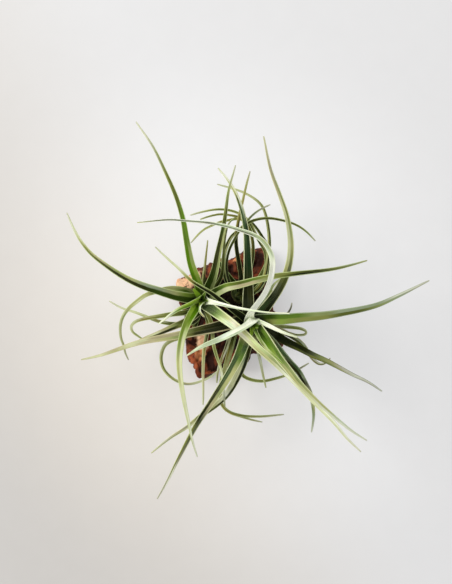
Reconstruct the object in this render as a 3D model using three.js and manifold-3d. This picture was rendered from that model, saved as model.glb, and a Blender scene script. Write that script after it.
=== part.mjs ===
// An air plant: three leafy heads that grew together on one chunk of bark.
// Millimetres, +Z up. The origin is the centre of the bark's flat underside.

import * as THREE from 'three';
import { mergeVertices } from 'three/addons/utils/BufferGeometryUtils.js';
import Module from 'manifold-3d';

// Driving dimensions

const PLAN_STEP = 0.8;        // one step of the plan grid that leaf routes are written on
const SIGHT_HEIGHT = 1300;    // the plan is drawn as seen from this far above the surface
const SIGHT_AXIS = [-3, 21];  // where the line of sight meets the plan grid
const ROUTE_LEVEL = -10;      // leaf heights are counted from this level

const CLEARANCE = 0.32;       // gap kept between pieces that grow against each other
const WELD = 0.002;           // points of one piece nearer than this are one point
const BLADE_BASE = 1.5;       // thickness of a leaf along its middle, where it leaves the stem
const BLADE_EDGE = 0.62;      // thickness at the edges and at the tip
const TIP_WIDTH = 0.9;        // width of a leaf's blunt tip
const CHANNEL_BASE = 30;      // degrees that each half of a leaf folds up at its base
const CHANNEL_TIP = 14;       // the same at its tip
const BASE_SWELL = 0.45;      // how much wider a leaf gets towards its root, as a share
const BASE_REACH = 60;        // over about what distance that fades
const RING_STEP = 18;         // distance between two sections of a leaf where it is straight
const RING_TURN = 30;         // degrees that a leaf may bend between two sections
const FEWEST_RINGS = 4;

const BARK_HEIGHT = 21;
const BARK_AROUND = 44;       // points round each ring of the bark
const PLATE_COUNT = 34;       // flaky plates of the bark
const PLATE_LIFT = 2.6;       // how far a plate stands out or lies back
const CRACK_DEPTH = 2.4;
const CRACK_WIDTH = 5;
const BARK_REACH = [44, 54];  // half the box that holds the plates' centres
const BARK_SHOULDER = [0.96, 0.86];  // shares of the outline between which sides turn into top

const STEM_SIDES = 10;
const STEM_RINGS = 9;
const STEM_TOP_SHARE = 0.3;   // a stem's radius at its crown, as a share of its widest
const STEM_FOOT_PHASE = 0.25; // where on its swell a stem starts, from 0 to 1
const SHEATH_TURNS = 4;       // old leaf sheaths wind round a stem like a screw
const SHEATH_STEP = 0.16;     // how far a sheath's edge stands out, as a share of the radius
const SHEATH_LENGTH = 8;      // the stretch of a leaf that lies along its stem
const LOWEST_SHEATH = 26;     // no sheath starts lower than this, just over the bark
const SHEATH_STANDOFF = 0.6;  // how far that stretch lies out from the stem's surface

const HEART_TAPER = 0.7;
const HEART_SEAT = 1.2;       // how far from the crown's middle a heart leaf starts

// Corners and steps of the bark's outline, in plan

const BARK_OUTLINE = [
  [-40, 25], [-33, 31], [-18, 35], [-10, 41], [3, 43], [14, 51], [25, 50], [30, 40], [31, 26], [36, 16],
  [35, 2], [40, -8], [41, -25], [33, -31], [20, -33], [10, -43], [-6, -45], [-16, -53], [-26, -52.5],
  [-28, -46], [-32, -37], [-35.5, -26.5], [-38, -14], [-36, -1], [-41, 10],
];

// Each head: where its stem stands in the bark, where its crown is, and its widest radius. Then the
// small leaves of its heart: the way that each leans in degrees, its length, how far out its tip is,
// and its width.

const HEADS = {
  left: { foot: [-19, 5, 11], crown: [-21, 11, 56], radius: 8,
    heart: [[125, 24, 9, 6], [200, 17, 6, 6], [262, 18, 5, 4.5], [350, 19, 4, 5], [60, 21, 5, 5]] },
  right: { foot: [10, -5, 11], crown: [18, -8, 62], radius: 8.5,
    heart: [[310, 26, 11.5, 3.8], [258, 20, 7, 5.5], [350, 18, 6, 5.5], [110, 18, 4, 5], [180, 16, 4, 5]] },
  back: { foot: [9, 15, 11], crown: [10, 17, 42], radius: 7,
    heart: [[213, 16, 5.5, 5], [350, 14.5, 6, 5], [128, 13, 6, 5], [265, 11, 6, 5]] },
};

// Finishes

const TONES = {
  heart: { color: 0x6f9a2c, roughness: 0.5 },
  green: { color: 0x4e7038, roughness: 0.55 },
  silver: { color: 0x9fb3a0, roughness: 0.65 },
  olive: { color: 0x7d7f45, roughness: 0.6 },
  bark: { color: 0x8a4a33, roughness: 0.95 },
};

// Leaves, inner ones first. Each has its widest width in mm, the power of its taper, its tone, the
// height of its root on the stem, and a route of plan steps right and up, with heights in mm.

const LEAVES = {
  left: {
    heart_curl: { width: 2.6, taper: 0.5, tone: 'heart', root: 63, route: [[-26.5, 9.5, 86],
      [-29.2, 5.5, 93], [-28.8, 0.5, 96], [-24.3, -4, 97]] },
    north: { width: 7, taper: 0.95, tone: 'heart', root: 60, route: [[-31.2, 32, 89], [-38.3, 51, 98],
      [-42.5, 73, 106], [-46, 94, 112], [-52, 114, 116], [-62, 138, 119], [-77, 168, 120],
      [-93, 191.5, 117]] },
    southwest_short: { width: 6, taper: 0.8, tone: 'heart', root: 60, route: [[-31, 14, 87],
      [-41, 8, 94], [-49.5, 4, 95.5], [-58, -1.5, 95], [-64.5, -6.5, 93.5], [-70.5, -11, 91]] },
    south: { width: 7.6, taper: 0.95, tone: 'heart', root: 60, route: [[-36, 2, 88], [-43, -12, 97],
      [-47.5, -27, 104], [-49.7, -44, 107], [-49, -62, 107], [-45.5, -85, 104], [-41, -107, 99],
      [-36.5, -128, 92], [-31.5, -144, 84]] },
    east_white: { width: 7, taper: 1.9, tone: 'silver', root: 61, route: [[-17, 11, 93],
      [-4, 8.3, 106], [11, 4.8, 111], [26, 2.2, 114.5], [41, 0.4, 116], [61, -0.5, 115]] },
    southeast: { width: 8.4, taper: 0.8, tone: 'silver', root: 59, route: [[-17, 3.5, 87],
      [-7, -3.5, 95], [3, -10.8, 99.5], [14, -20.5, 102], [27, -33, 103], [43, -46.8, 102], [59, -62, 100.5],
      [75, -78, 98], [91, -95, 95], [107, -112, 90], [119, -126, 85], [132, -139, 79]] },
    west: { width: 8.6, taper: 0.95, tone: 'green', root: 58, route: [[-39, 15.5, 82],
      [-54, 17.7, 91], [-69, 21.5, 97], [-84, 26.5, 101], [-99, 33, 104], [-114, 41.5, 105], [-129, 52, 105],
      [-139, 60.5, 104], [-149, 73, 102], [-156, 86, 99], [-162, 100.5, 95]] },
    east: { width: 7, taper: 0.75, tone: 'green', root: 56, route: [[-10, 22, 82], [-1, 26.5, 90],
      [11, 29, 96], [23, 32, 101], [37, 35, 105], [51, 37.5, 107], [68, 39.6, 108], [88, 41.7, 107],
      [107, 44.7, 105], [122, 48, 102], [138.5, 52.5, 98]] },
    northeast: { width: 7.4, taper: 0.95, tone: 'green', root: 54, route: [[-15, 38, 84],
      [-10.4, 61, 95], [-6, 83, 103], [-3, 103, 107], [0, 123, 109], [6.5, 148, 108]] },
    north_short: { width: 3, taper: 0.8, tone: 'olive', root: 51, route: [[-25, 38, 78],
      [-23.5, 53, 84], [-21.2, 73, 87]] },
    southwest: { width: 7, taper: 0.85, tone: 'green', root: 49, route: [[-35, -3, 68], [-44, -9, 72],
      [-54, -13, 74], [-64, -17.5, 74], [-74, -21.7, 72], [-83, -25, 70], [-94, -30, 66],
      [-105, -34.5, 61]] },
    west_loop: { width: 4, taper: 0.55, tone: 'olive', root: 50, route: [[-44, 23.5, 76],
      [-61, 24.5, 81], [-74, 21, 82], [-83, 18, 81], [-91, 12.5, 78], [-99, 6, 74], [-105, -1.5, 69],
      [-108.3, -10, 63], [-108.8, -19, 57], [-107.5, -27, 52], [-105, -33, 48], [-104, -39, 45],
      [-100.5, -47, 41]] },
    south_pale: { width: 3, taper: 0.6, tone: 'olive', root: 51, route: [[-17, -14, 76],
      [-16, -30, 83], [-12, -44, 87], [-8, -55, 90], [-6, -69, 91], [-5, -80, 91], [-4, -94, 88]] },
    south_thin: { width: 3, taper: 0.55, tone: 'olive', root: 48, route: [[-21, -10, 64],
      [-22, -22, 70], [-25, -37, 73], [-26, -57, 74], [-25.7, -77, 73], [-26, -92, 69]] },
    west_curl: { width: 3.8, taper: 0.5, tone: 'olive', root: 44, route: [[-42, 0.5, 60],
      [-59, -1.5, 62], [-74, -4, 62], [-87, -6.5, 61], [-95, -9.5, 60], [-98.2, -14, 59], [-96.5, -19, 58],
      [-91, -23, 57], [-85, -27, 56]] },
    north_pale: { width: 3.4, taper: 0.6, tone: 'olive', root: 45, route: [[-7, 38, 80],
      [-5, 68, 94], [-3, 81, 97], [0, 90, 98], [7, 96, 98]] },
    west_thin: { width: 3.2, taper: 0.7, tone: 'olive', root: 42, route: [[-34, -9, 49],
      [-49, -11, 51], [-61, -10.5, 52], [-72, -8, 52], [-83, -3.5, 51], [-94, 0.7, 50], [-107, 5, 47],
      [-120, 12, 43]] },
    low_curl: { width: 2.8, taper: 0.4, tone: 'olive', root: 40, route: [[-39, -22, 52],
      [-55, -26.5, 56], [-64, -32, 57], [-68, -45, 58], [-65, -57, 58], [-55, -66.5, 58], [-42, -71, 57],
      [-29, -68.5, 56], [-17, -63, 55], [-11, -57.5, 54]] },
  },
  right: {
    southwest_white: { width: 8.2, taper: 0.8, tone: 'silver', root: 67, route: [[24.3, -7.6, 85],
      [22, -10.2, 95], [15.5, -14.4, 104], [6, -19.2, 110], [-4, -23.6, 113], [-13, -27.6, 112.5],
      [-22, -31.3, 109], [-31, -35.6, 103], [-42.3, -42.6, 93]] },
    white_curl: { width: 8.4, taper: 1.35, tone: 'silver', root: 66, route: [[19, -3, 86],
      [21, 1.6, 93], [25.8, 8, 100], [32, 16, 108], [37.3, 24.5, 115.5], [41, 33.5, 122],
      [42.8, 42, 126.8], [43.5, 51, 130.5], [42, 59, 133], [38, 67, 134.5], [31, 74.5, 135.5],
      [21, 79.7, 136], [11, 83, 136], [1, 86.2, 135.5], [-9, 88.4, 134.5], [-19, 90, 133],
      [-29, 91.1, 131.5], [-44, 92.3, 129], [-59, 93, 126.5], [-74, 92.2, 124], [-92, 90.5, 120]] },
    heart_pale: { width: 3, taper: 0.5, tone: 'heart', root: 67, route: [[28, -21, 106],
      [34, -31, 114], [43, -41, 118], [54, -51, 120]] },
    southeast: { width: 8.6, taper: 0.9, tone: 'heart', root: 65, route: [[33, -19, 98],
      [41, -31, 105.5], [50, -45, 110], [60, -57.5, 111.5], [71, -71, 111], [83, -83.5, 109],
      [96, -95.5, 105], [109, -107, 100], [123, -118, 94], [138, -127.5, 87]] },
    east_short: { width: 5.2, taper: 0.8, tone: 'silver', root: 65, route: [[33, -9.5, 92],
      [43, -14, 96.5], [55, -19.5, 97.5], [69, -24.5, 95]] },
    east: { width: 9.6, taper: 0.78, tone: 'green', root: 63, route: [[39, -5.5, 92], [51, -6, 97],
      [71, -4.6, 101], [91, -3, 103], [111, 0, 103], [131, 3.8, 102], [151, 9, 99], [171, 18, 95],
      [189, 27, 91], [200.5, 32.5, 88]] },
    northwest: { width: 4.8, taper: 0.8, tone: 'green', root: 61, route: [[2, 5, 90], [-9, 13.2, 93.5],
      [-19, 21, 96.5], [-29, 27, 100], [-39, 33.4, 100.5], [-49, 43, 100], [-59, 52, 98.5],
      [-74, 66.3, 95]] },
    north: { width: 7.8, taper: 0.8, tone: 'green', root: 60, route: [[39, 8, 88], [51, 26, 94],
      [59, 45, 99], [62, 68, 106], [59, 93, 112], [51, 118, 116], [41, 145, 118], [34.5, 177, 116]] },
    southwest_long: { width: 9.4, taper: 0.95, tone: 'green', root: 60, route: [[15.7, -27, 92],
      [9, -46, 98.5], [-3, -67, 99.5], [-16, -87, 96], [-29, -106, 90], [-41, -127, 83], [-51, -147, 75.5],
      [-61, -167, 67], [-72, -186, 58]] },
    west: { width: 9.4, taper: 0.85, tone: 'green', root: 59, route: [[1, -10, 84], [-9, -13, 87],
      [-24, -16.7, 89], [-39, -19.8, 89], [-54, -22.8, 87.5], [-69, -25.3, 85], [-84, -28, 81],
      [-99, -32.2, 76], [-114, -37.5, 70], [-129, -42.5, 63], [-148, -46.5, 54]] },
    north_dark: { width: 9.4, taper: 0.85, tone: 'green', root: 56, route: [[19, 12, 82], [19, 33, 91],
      [18.5, 58, 97.5], [17, 83, 100.5], [13, 103, 100], [6, 121, 98], [-2, 134, 95], [-11, 145, 91]] },
    south_bent: { width: 7.4, taper: 0.75, tone: 'green', root: 58, route: [[41.5, -28, 85],
      [50.3, -37.5, 89], [59.5, -48, 91], [69, -58, 90.5], [76, -70, 88.5], [81.5, -81, 86], [84, -93, 83],
      [84.6, -103, 80], [82.5, -119.5, 74]] },
    southeast_low: { width: 7.4, taper: 0.85, tone: 'green', root: 55, route: [[43, -20, 80],
      [56, -27.8, 84], [71, -34.8, 85.5], [83, -41.5, 84], [96, -47.5, 81.5], [111, -55, 77.5],
      [126, -62.5, 72.5], [139, -69, 67], [153, -78.5, 59]] },
    southwest_back: { width: 8.2, taper: 0.9, tone: 'olive', root: 54, route: [[16.5, -39, 84],
      [12, -55, 87], [5.6, -69, 87], [-3, -82, 85], [-16, -94, 82], [-29, -103.5, 79], [-42, -114, 75],
      [-59, -125, 70], [-78, -140, 62]] },
    northeast: { width: 5, taper: 0.75, tone: 'green', root: 54, route: [[34, 9, 77], [40, 20, 81],
      [45, 29, 82], [52, 35, 82]] },
    southeast_hook: { width: 4.4, taper: 0.5, tone: 'olive', root: 50, route: [[51, -17, 72],
      [64, -24, 74], [74, -32, 74], [80, -41, 73], [86, -48.5, 71.5], [92, -51.5, 71], [97, -49.5, 72],
      [101.5, -45, 74]] },
    east_loop: { width: 2.8, taper: 0.4, tone: 'olive', root: 45, route: [[54, -13.8, 63],
      [65, -14.8, 65], [73, -16, 65], [78, -18.8, 64], [76.5, -21.6, 63], [71, -22.4, 62], [65, -21.6, 61],
      [60, -19, 60]] },
    south_light: { width: 2.8, taper: 0.5, tone: 'olive', root: 53, route: [[26, -22, 76],
      [28.5, -35, 81], [31, -47, 82], [34, -62, 81], [37, -75, 78]] },
    south_thin: { width: 3, taper: 0.5, tone: 'olive', root: 44, route: [[3, -17, 57], [-2, -32, 61],
      [-8, -48, 64], [-11.5, -60, 65], [-12.3, -70, 64]] },
    south_hook: { width: 3.2, taper: 0.45, tone: 'olive', root: 44, route: [[5, -19, 51], [1, -37, 55],
      [-4, -55, 57], [-8, -75, 57], [-7.5, -90, 56], [-1, -98, 55], [13, -102.5, 53], [31, -103.4, 51],
      [55, -101.5, 48]] },
    south_arc: { width: 2.8, taper: 0.45, tone: 'olive', root: 42, route: [[11, -37, 50],
      [11, -52, 52], [13, -62, 53], [21, -66.3, 54], [33, -68, 54], [46, -65.6, 53], [58, -62, 51],
      [68, -57, 48], [80, -50, 44]] },
    south_hook_thin: { width: 2.4, taper: 0.4, tone: 'olive', root: 40, route: [[7, -20, 42],
      [0, -45, 46], [-8, -68, 47], [-9.5, -82, 46], [-7, -93, 45], [1, -100, 44], [13, -104, 43],
      [23, -106.8, 42], [33.5, -109, 41]] },
  },
  back: {
    northeast: { width: 2.6, taper: 0.45, tone: 'olive', root: 48, route: [[0, 30, 70], [-3, 48, 82],
      [0, 63, 87], [5, 73, 89], [11, 83, 91], [18, 92, 92], [25, 99, 92], [33, 104.5, 91],
      [41.5, 108.5, 89]] },
    north: { width: 3.4, taper: 0.5, tone: 'olive', root: 46, route: [[12, 38, 67], [8.5, 58, 75],
      [7, 73, 79], [9, 91, 82], [14, 113, 82], [18, 131, 81], [21, 142, 79]] },
    arc_right: { width: 3.2, taper: 0.5, tone: 'olive', root: 44, route: [[-3, 32, 62], [-6, 53, 70],
      [-2, 68, 72.5], [3, 77, 73.5], [9, 82, 74], [16, 88, 74.5], [23, 92, 75], [33, 94.7, 76],
      [43, 94.7, 77], [56, 92, 77], [64, 89.5, 76], [72, 85.5, 75], [79, 80, 73.5], [86.5, 72, 71]] },
    arc_outer: { width: 3.2, taper: 0.5, tone: 'olive', root: 43, route: [[27, 21, 58], [35, 33, 63],
      [38.5, 51, 66], [40.3, 73, 68], [37.5, 95, 69], [33, 107, 70], [26, 114, 70.5], [14, 121, 70.5],
      [1, 125.5, 70], [-12, 129, 68]] },
    arc_left: { width: 2.6, taper: 0.4, tone: 'olive', root: 40, route: [[20, 38, 57], [24, 60, 63],
      [23, 76, 65.5], [19, 88, 66], [11, 94, 66.5], [1, 93, 66.5], [-9, 91, 66], [-16, 88, 65.5],
      [-25, 83.5, 64], [-32, 77, 62.5], [-38, 70, 60]] },
    arc_middle: { width: 2.8, taper: 0.45, tone: 'olive', root: 42, route: [[27, 24, 49], [35, 35, 53],
      [37.5, 53, 56], [35.5, 63, 57], [31, 70, 57.5], [25, 82, 58.5], [20, 92, 59], [12, 98.5, 59.5],
      [3, 102, 59.5], [-10, 103.5, 59], [-24, 101.5, 57.5], [-39, 97.5, 55]] },
    arc_inner: { width: 2.6, taper: 0.4, tone: 'olive', root: 40, route: [[29, 22, 42], [37, 36, 46],
      [40, 51, 48], [38.5, 67, 50], [33, 77, 51], [26, 87, 51.5], [19, 93.5, 52], [11, 96, 52], [1, 98, 51.5],
      [-9.2, 99, 51], [-19, 97, 50], [-29, 93.5, 48]] },
    northwest: { width: 4.4, taper: 0.7, tone: 'green', root: 40, route: [[0, 36, 53], [-6, 44, 57],
      [-11, 54, 57], [-12, 62, 54]] },
    northeast_low: { width: 4, taper: 0.7, tone: 'green', root: 40, route: [[27, 30, 42],
      [35, 44, 42], [39, 58, 40]] },
    east_low: { width: 2.2, taper: 0.5, tone: 'olive', root: 40, route: [[33, 0, 44], [49, -3.5, 50],
      [58, -1, 53], [62, 5, 54], [62.8, 10.5, 54]] },
  },
};

// Small maths

const radians = THREE.MathUtils.degToRad;
const mix = THREE.MathUtils.lerp;
const UP = new THREE.Vector3(0, 0, 1);

/** A repeatable run of numbers between 0 and 1. */
const randomRun = (seed) => () => {
  seed = (seed * 1664525 + 1013904223) % 4294967296;
  return seed / 4294967296;
};

/** A smooth line through points. */
const smoothLine = (points) => new THREE.CatmullRomCurve3(points, false, 'centripetal');

/** A point of the plan grid, with its height, in millimetres. */
const planPoint = ([right, up, height]) => {
  const shrink = 1 - height / SIGHT_HEIGHT;
  const x = (right - SIGHT_AXIS[0]) * shrink + SIGHT_AXIS[0];
  const y = (up - SIGHT_AXIS[1]) * shrink + SIGHT_AXIS[1];
  return new THREE.Vector3(x * PLAN_STEP, y * PLAN_STEP, height + ROUTE_LEVEL);
};

// Joining and cutting

const wasm = await Module();
wasm.setup();

/** A closed body from its points and its triangles. */
const bodyOf = (points, faces) => new wasm.Manifold(new wasm.Mesh({
  numProp: 3,
  vertProperties: new Float32Array(points.flatMap((p) => [p.x, p.y, p.z])),
  triVerts: new Uint32Array(faces.flat()),
}));

/** A body's surface as a three.js geometry. */
const surfaceOf = (body) => {
  const { vertProperties, triVerts } = body.getMesh();
  return new THREE.BufferGeometry()
    .setAttribute('position', new THREE.BufferAttribute(new Float32Array(vertProperties), 3))
    .setIndex(new THREE.BufferAttribute(new Uint32Array(triVerts), 1));
};

/** The largest piece of a body, without the scraps and sealed pockets that a cut may leave. */
const largestPiece = (body) => {
  const { attributes, index } = mergeVertices(surfaceOf(body), WELD);
  const welded = new wasm.Manifold(new wasm.Mesh({
    numProp: 3,
    vertProperties: attributes.position.array,
    triVerts: new Uint32Array(index.array),
  }));
  return welded.decompose().reduce((a, b) => (b.volume() > a.volume() ? b : a));
};

/** Whether the boxes round two bodies meet. */
const boxesMeet = (a, b) => {
  const [boxA, boxB] = [a.boundingBox(), b.boundingBox()];
  return [0, 1, 2].every((k) => boxA.min[k] < boxB.max[k] && boxB.min[k] < boxA.max[k]);
};

/** A body cut clear of others. */
const cutClear = (body, others) => {
  const near = others.filter((other) => boxesMeet(body, other));
  return largestPiece(near.reduce((left, other) => left.subtract(other), body));
};

/** A mesh of the scene, from a body. */
const meshOf = (name, body, tone) => {
  const geometry = surfaceOf(body);
  geometry.computeVertexNormals();
  const mesh = new THREE.Mesh(geometry, new THREE.MeshStandardMaterial({ metalness: 0, ...TONES[tone] }));
  mesh.name = name;
  return mesh;
};

// Leaves

const SECTION_POINTS = 6;
// Columns of a leaf's skin whose triangles lean the other way, so that both faces are split alike
const LEANING_COLUMNS = [3, 4];
const SECTION_CAP = [[0, 1, 4], [0, 4, 5], [1, 2, 3], [1, 3, 4]];

/** The six points of a leaf's section: its channelled upper face, then its under face. */
const leafSection = (centre, side, face, halfWidth, fold, thickness, edge) => {
  const point = (across, up) => centre.clone().addScaledVector(side, across).addScaledVector(face, up);
  const reach = halfWidth * Math.cos(fold);
  const rise = halfWidth * Math.sin(fold);
  return [
    point(-reach, rise + edge / 2), point(0, thickness / 2), point(reach, rise + edge / 2),
    point(reach, rise - edge / 2), point(0, -thickness / 2), point(-reach, rise - edge / 2),
  ];
};

/** Triangles that join a stack of leaf sections into one closed skin. */
const leafFaces = (rings) => {
  const faces = SECTION_CAP.map(([a, b, c]) => [c, b, a]);
  for (let ring = 0; ring < rings - 1; ring += 1) {
    for (let column = 0; column < SECTION_POINTS; column += 1) {
      const a = ring * SECTION_POINTS + column;
      const b = ring * SECTION_POINTS + ((column + 1) % SECTION_POINTS);
      const [c, d] = [a + SECTION_POINTS, b + SECTION_POINTS];
      faces.push(...(LEANING_COLUMNS.includes(column) ? [[a, b, c], [b, d, c]] : [[a, b, d], [a, d, c]]));
    }
  }
  const last = (rings - 1) * SECTION_POINTS;
  return [...faces, ...SECTION_CAP.map((corners) => corners.map((corner) => corner + last))];
};

/** How many sections a leaf needs: more where it is longer or bends more. */
const leafRings = (curve) => {
  const headings = Array.from({ length: 25 }, (_, k) => curve.getTangentAt(k / 24));
  const turn = headings.slice(1).reduce((sum, heading, k) => sum + heading.angleTo(headings[k]), 0);
  return Math.max(FEWEST_RINGS, Math.round(curve.getLength() / RING_STEP + turn / radians(RING_TURN)) + 1);
};

/** A leaf as a body: a channelled blade that tapers along its path. Grown by a margin all round. */
const leafBody = ({ width, taper, swell = BASE_SWELL }, { curve, outlook }, margin) => {
  const rings = leafRings(curve);
  const points = [];
  for (let ring = 0; ring < rings; ring += 1) {
    const along = ring / (rings - 1);
    const centre = curve.getPointAt(along);
    const heading = curve.getTangentAt(along);
    if (ring === 0) centre.addScaledVector(heading, -margin);
    if (ring === rings - 1) centre.addScaledVector(heading, margin);
    const upright = Math.max(0, heading.z);
    const above = UP.clone().lerp(outlook, upright);
    const side = new THREE.Vector3().crossVectors(heading, above).normalize();
    const face = new THREE.Vector3().crossVectors(side, heading);
    const wide = 1 + swell * Math.exp(-((along * curve.getLength() / BASE_REACH) ** 2));
    const halfWidth = mix(TIP_WIDTH, width * wide, (1 - along) ** taper) / 2 + margin;
    const fold = radians(mix(CHANNEL_BASE, CHANNEL_TIP, Math.min(1, along * 2)));
    const thickness = mix(BLADE_BASE, BLADE_EDGE, along) + 2 * margin;
    points.push(...leafSection(centre, side, face, halfWidth, fold, thickness, BLADE_EDGE + 2 * margin));
  }
  return bodyOf(points, leafFaces(rings));
};

// Stems

/** The radius of a stem at a height from 0 at its foot to 1 at its crown: it swells, then narrows. */
const stemRadius = (radius, up) => {
  const swell = Math.sin(Math.PI * mix(STEM_FOOT_PHASE, 1, up)) ** 0.8;
  return radius * mix(STEM_TOP_SHARE, 1, swell);
};

/** The middle of a stem at a height in millimetres. */
const stemMiddle = ({ foot, crown }, height) => {
  const share = (height - foot[2]) / (crown[2] - foot[2]);
  return new THREE.Vector3(...foot).lerp(new THREE.Vector3(...crown), share);
};

/** A leaf's smooth line up the side of its stem and out along its route, and the way that its upper
 * side looks where it stands upright: to its stem, or away from it where it bends over the crown. */
const leafPath = ({ root, route }, head) => {
  const points = route.map(planPoint);
  const height = root + ROUTE_LEVEL;
  const out = points[0].clone().sub(stemMiddle(head, height)).setZ(0).normalize();
  const up = (level) => (level - head.foot[2]) / (head.crown[2] - head.foot[2]);
  const sheath = [Math.max(height - SHEATH_LENGTH, LOWEST_SHEATH), height].map((level) => (
    stemMiddle(head, level).addScaledVector(out, stemRadius(head.radius, up(level)) + SHEATH_STANDOFF)));
  const bendsOver = points[1].clone().sub(points[0]).dot(out) < 0;
  return { curve: smoothLine([...sheath, ...points]), outlook: bendsOver ? out : out.negate() };
};

/** A stem wrapped in old leaf sheaths, whose edges wind up it. Grown by a margin all round. */
const stemBody = ({ foot, crown, radius }, margin) => {
  const start = new THREE.Vector3(foot[0], foot[1], foot[2] - margin);
  const end = new THREE.Vector3(crown[0], crown[1], crown[2] + margin);
  const points = [];
  for (let ring = 0; ring < STEM_RINGS; ring += 1) {
    const up = ring / (STEM_RINGS - 1);
    const centre = start.clone().lerp(end, up);
    for (let k = 0; k < STEM_SIDES; k += 1) {
      const angle = (k / STEM_SIDES) * 2 * Math.PI;
      const sheath = 1 + SHEATH_STEP * ((up * SHEATH_TURNS + k / STEM_SIDES) % 1 - 0.5);
      const reach = stemRadius(radius, up) * sheath + margin;
      points.push(centre.clone().add(new THREE.Vector3(Math.cos(angle) * reach, Math.sin(angle) * reach, 0)));
    }
  }
  return bodyOf([...points, start, end], ringFaces(STEM_RINGS, STEM_SIDES));
};

/** Triangles round a stack of rings, counted upwards, with a fan to a last point at each end. */
const ringFaces = (rings, sides) => {
  const faces = [];
  const [below, above] = [rings * sides, rings * sides + 1];
  for (let k = 0; k < sides; k += 1) {
    const next = (k + 1) % sides;
    faces.push([below, next, k], [above, (rings - 1) * sides + k, (rings - 1) * sides + next]);
    for (let ring = 0; ring < rings - 1; ring += 1) {
      const [a, b] = [ring * sides + k, ring * sides + next];
      faces.push([a, b, b + sides], [a, b + sides, a + sides]);
    }
  }
  return faces;
};

/** The line of a heart's small leaf, which stands up from the crown and leans out a little. */
const heartPath = ({ crown }, [angle, length, lean]) => {
  const out = new THREE.Vector3(Math.cos(radians(angle)), Math.sin(radians(angle)), 0);
  const base = new THREE.Vector3(...crown).addScaledVector(out, HEART_SEAT);
  const middle = base.clone().addScaledVector(out, lean / 3).addScaledVector(UP, length / 2);
  const tip = base.clone().addScaledVector(out, lean).addScaledVector(UP, length);
  return { curve: smoothLine([base, middle, tip]), outlook: out.negate() };
};

/** A stem fused with the small leaves of its heart. Grown by a margin all round. */
const headBody = (head, margin) => head.heart.reduce((body, leaf) => (
  body.add(leafBody({ width: leaf.at(-1), taper: HEART_TAPER, swell: 0 }, heartPath(head, leaf), margin))
), stemBody(head, margin));

// Bark

/** Centres of the bark's flaky plates, each with its own lift. */
const barkPlates = () => {
  const draw = randomRun(11);
  return Array.from({ length: PLATE_COUNT }, () => ({
    centre: new THREE.Vector3(...BARK_REACH.map((reach) => mix(-reach, reach, draw())), BARK_HEIGHT * draw()),
    lift: mix(-PLATE_LIFT, PLATE_LIFT, draw()),
  }));
};

/** How far the bark's surface stands out at a point: each plate has its level, with cracks between. */
const barkRelief = (plates, point) => {
  const near = plates.map(({ centre, lift }) => ({ away: centre.distanceTo(point), lift }));
  near.sort((a, b) => a.away - b.away);
  const crack = Math.max(0, 1 - (near[1].away - near[0].away) / CRACK_WIDTH);
  return near[0].lift - CRACK_DEPTH * crack;
};

// Rings of the bark from its underside to the middle of its top: share of the outline, share of the height
const BARK_RINGS = [
  [0.9, 0], [0.98, 0.16], [1.01, 0.4], [1, 0.64], [0.96, 0.86], [0.89, 1], [0.78, 1.04], [0.66, 1.02],
  [0.53, 1.04], [0.4, 1.06], [0.27, 1.05], [0.13, 1.04],
];

/** The chunk of bark: flat below, rough plates on its sides and top. */
const barkBody = () => {
  const corners = BARK_OUTLINE.map(([x, y]) => new THREE.Vector3(x, y, 0));
  const outline = new THREE.CatmullRomCurve3(corners, true, 'catmullrom', 0.25);
  const plates = barkPlates();
  const points = BARK_RINGS.flatMap(([share, level], ring) => Array.from({ length: BARK_AROUND }, (_, k) => {
    const rim = outline.getPoint(k / BARK_AROUND);
    const point = rim.clone().multiplyScalar(share).setZ(level * BARK_HEIGHT);
    if (ring === 0) return point;
    const relief = barkRelief(plates, point);
    const top = 1 - THREE.MathUtils.smoothstep(share, BARK_SHOULDER[1], BARK_SHOULDER[0]);
    point.addScaledVector(rim.normalize(), relief * (1 - top));
    return point.setZ(point.z + relief * top);
  }));
  const underMiddle = new THREE.Vector3();
  const topMiddle = new THREE.Vector3(0, 0, BARK_HEIGHT);
  const faces = ringFaces(BARK_RINGS.length, BARK_AROUND).map(([a, b, c]) => [a, c, b]);
  return bodyOf([...points, underMiddle, topMiddle], faces);
};

// The whole plant

const plant = new THREE.Group();
const grown = [];  // every piece so far, grown by the clearance
const heads = Object.entries(HEADS);

for (const [, head] of heads) grown.push(headBody(head, CLEARANCE));
plant.add(meshOf('bark_chunk', cutClear(barkBody(), grown), 'bark'));
for (const [name, head] of heads) plant.add(meshOf(`${name}_stem`, headBody(head, 0), 'olive'));

for (const [head, leaves] of Object.entries(LEAVES)) {
  for (const [name, leaf] of Object.entries(leaves)) {
    const path = leafPath(leaf, HEADS[head]);
    plant.add(meshOf(`${head}_leaf_${name}`, cutClear(leafBody(leaf, path, 0), grown), leaf.tone));
    grown.push(leafBody(leaf, path, CLEARANCE));
  }
}

export default plant;
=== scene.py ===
"""The looks of an air plant: three leafy heads that grew together on one chunk of bark.

A piece is worked out in millimetres, +Z up, and its finished mesh is in metres, in the frame of the
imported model, whose solids it stands for.
"""

import logging
import math
import random
from bisect import bisect_left
from dataclasses import dataclass, field
from enum import Enum

import bmesh
import bpy
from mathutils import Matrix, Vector, noise


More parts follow.
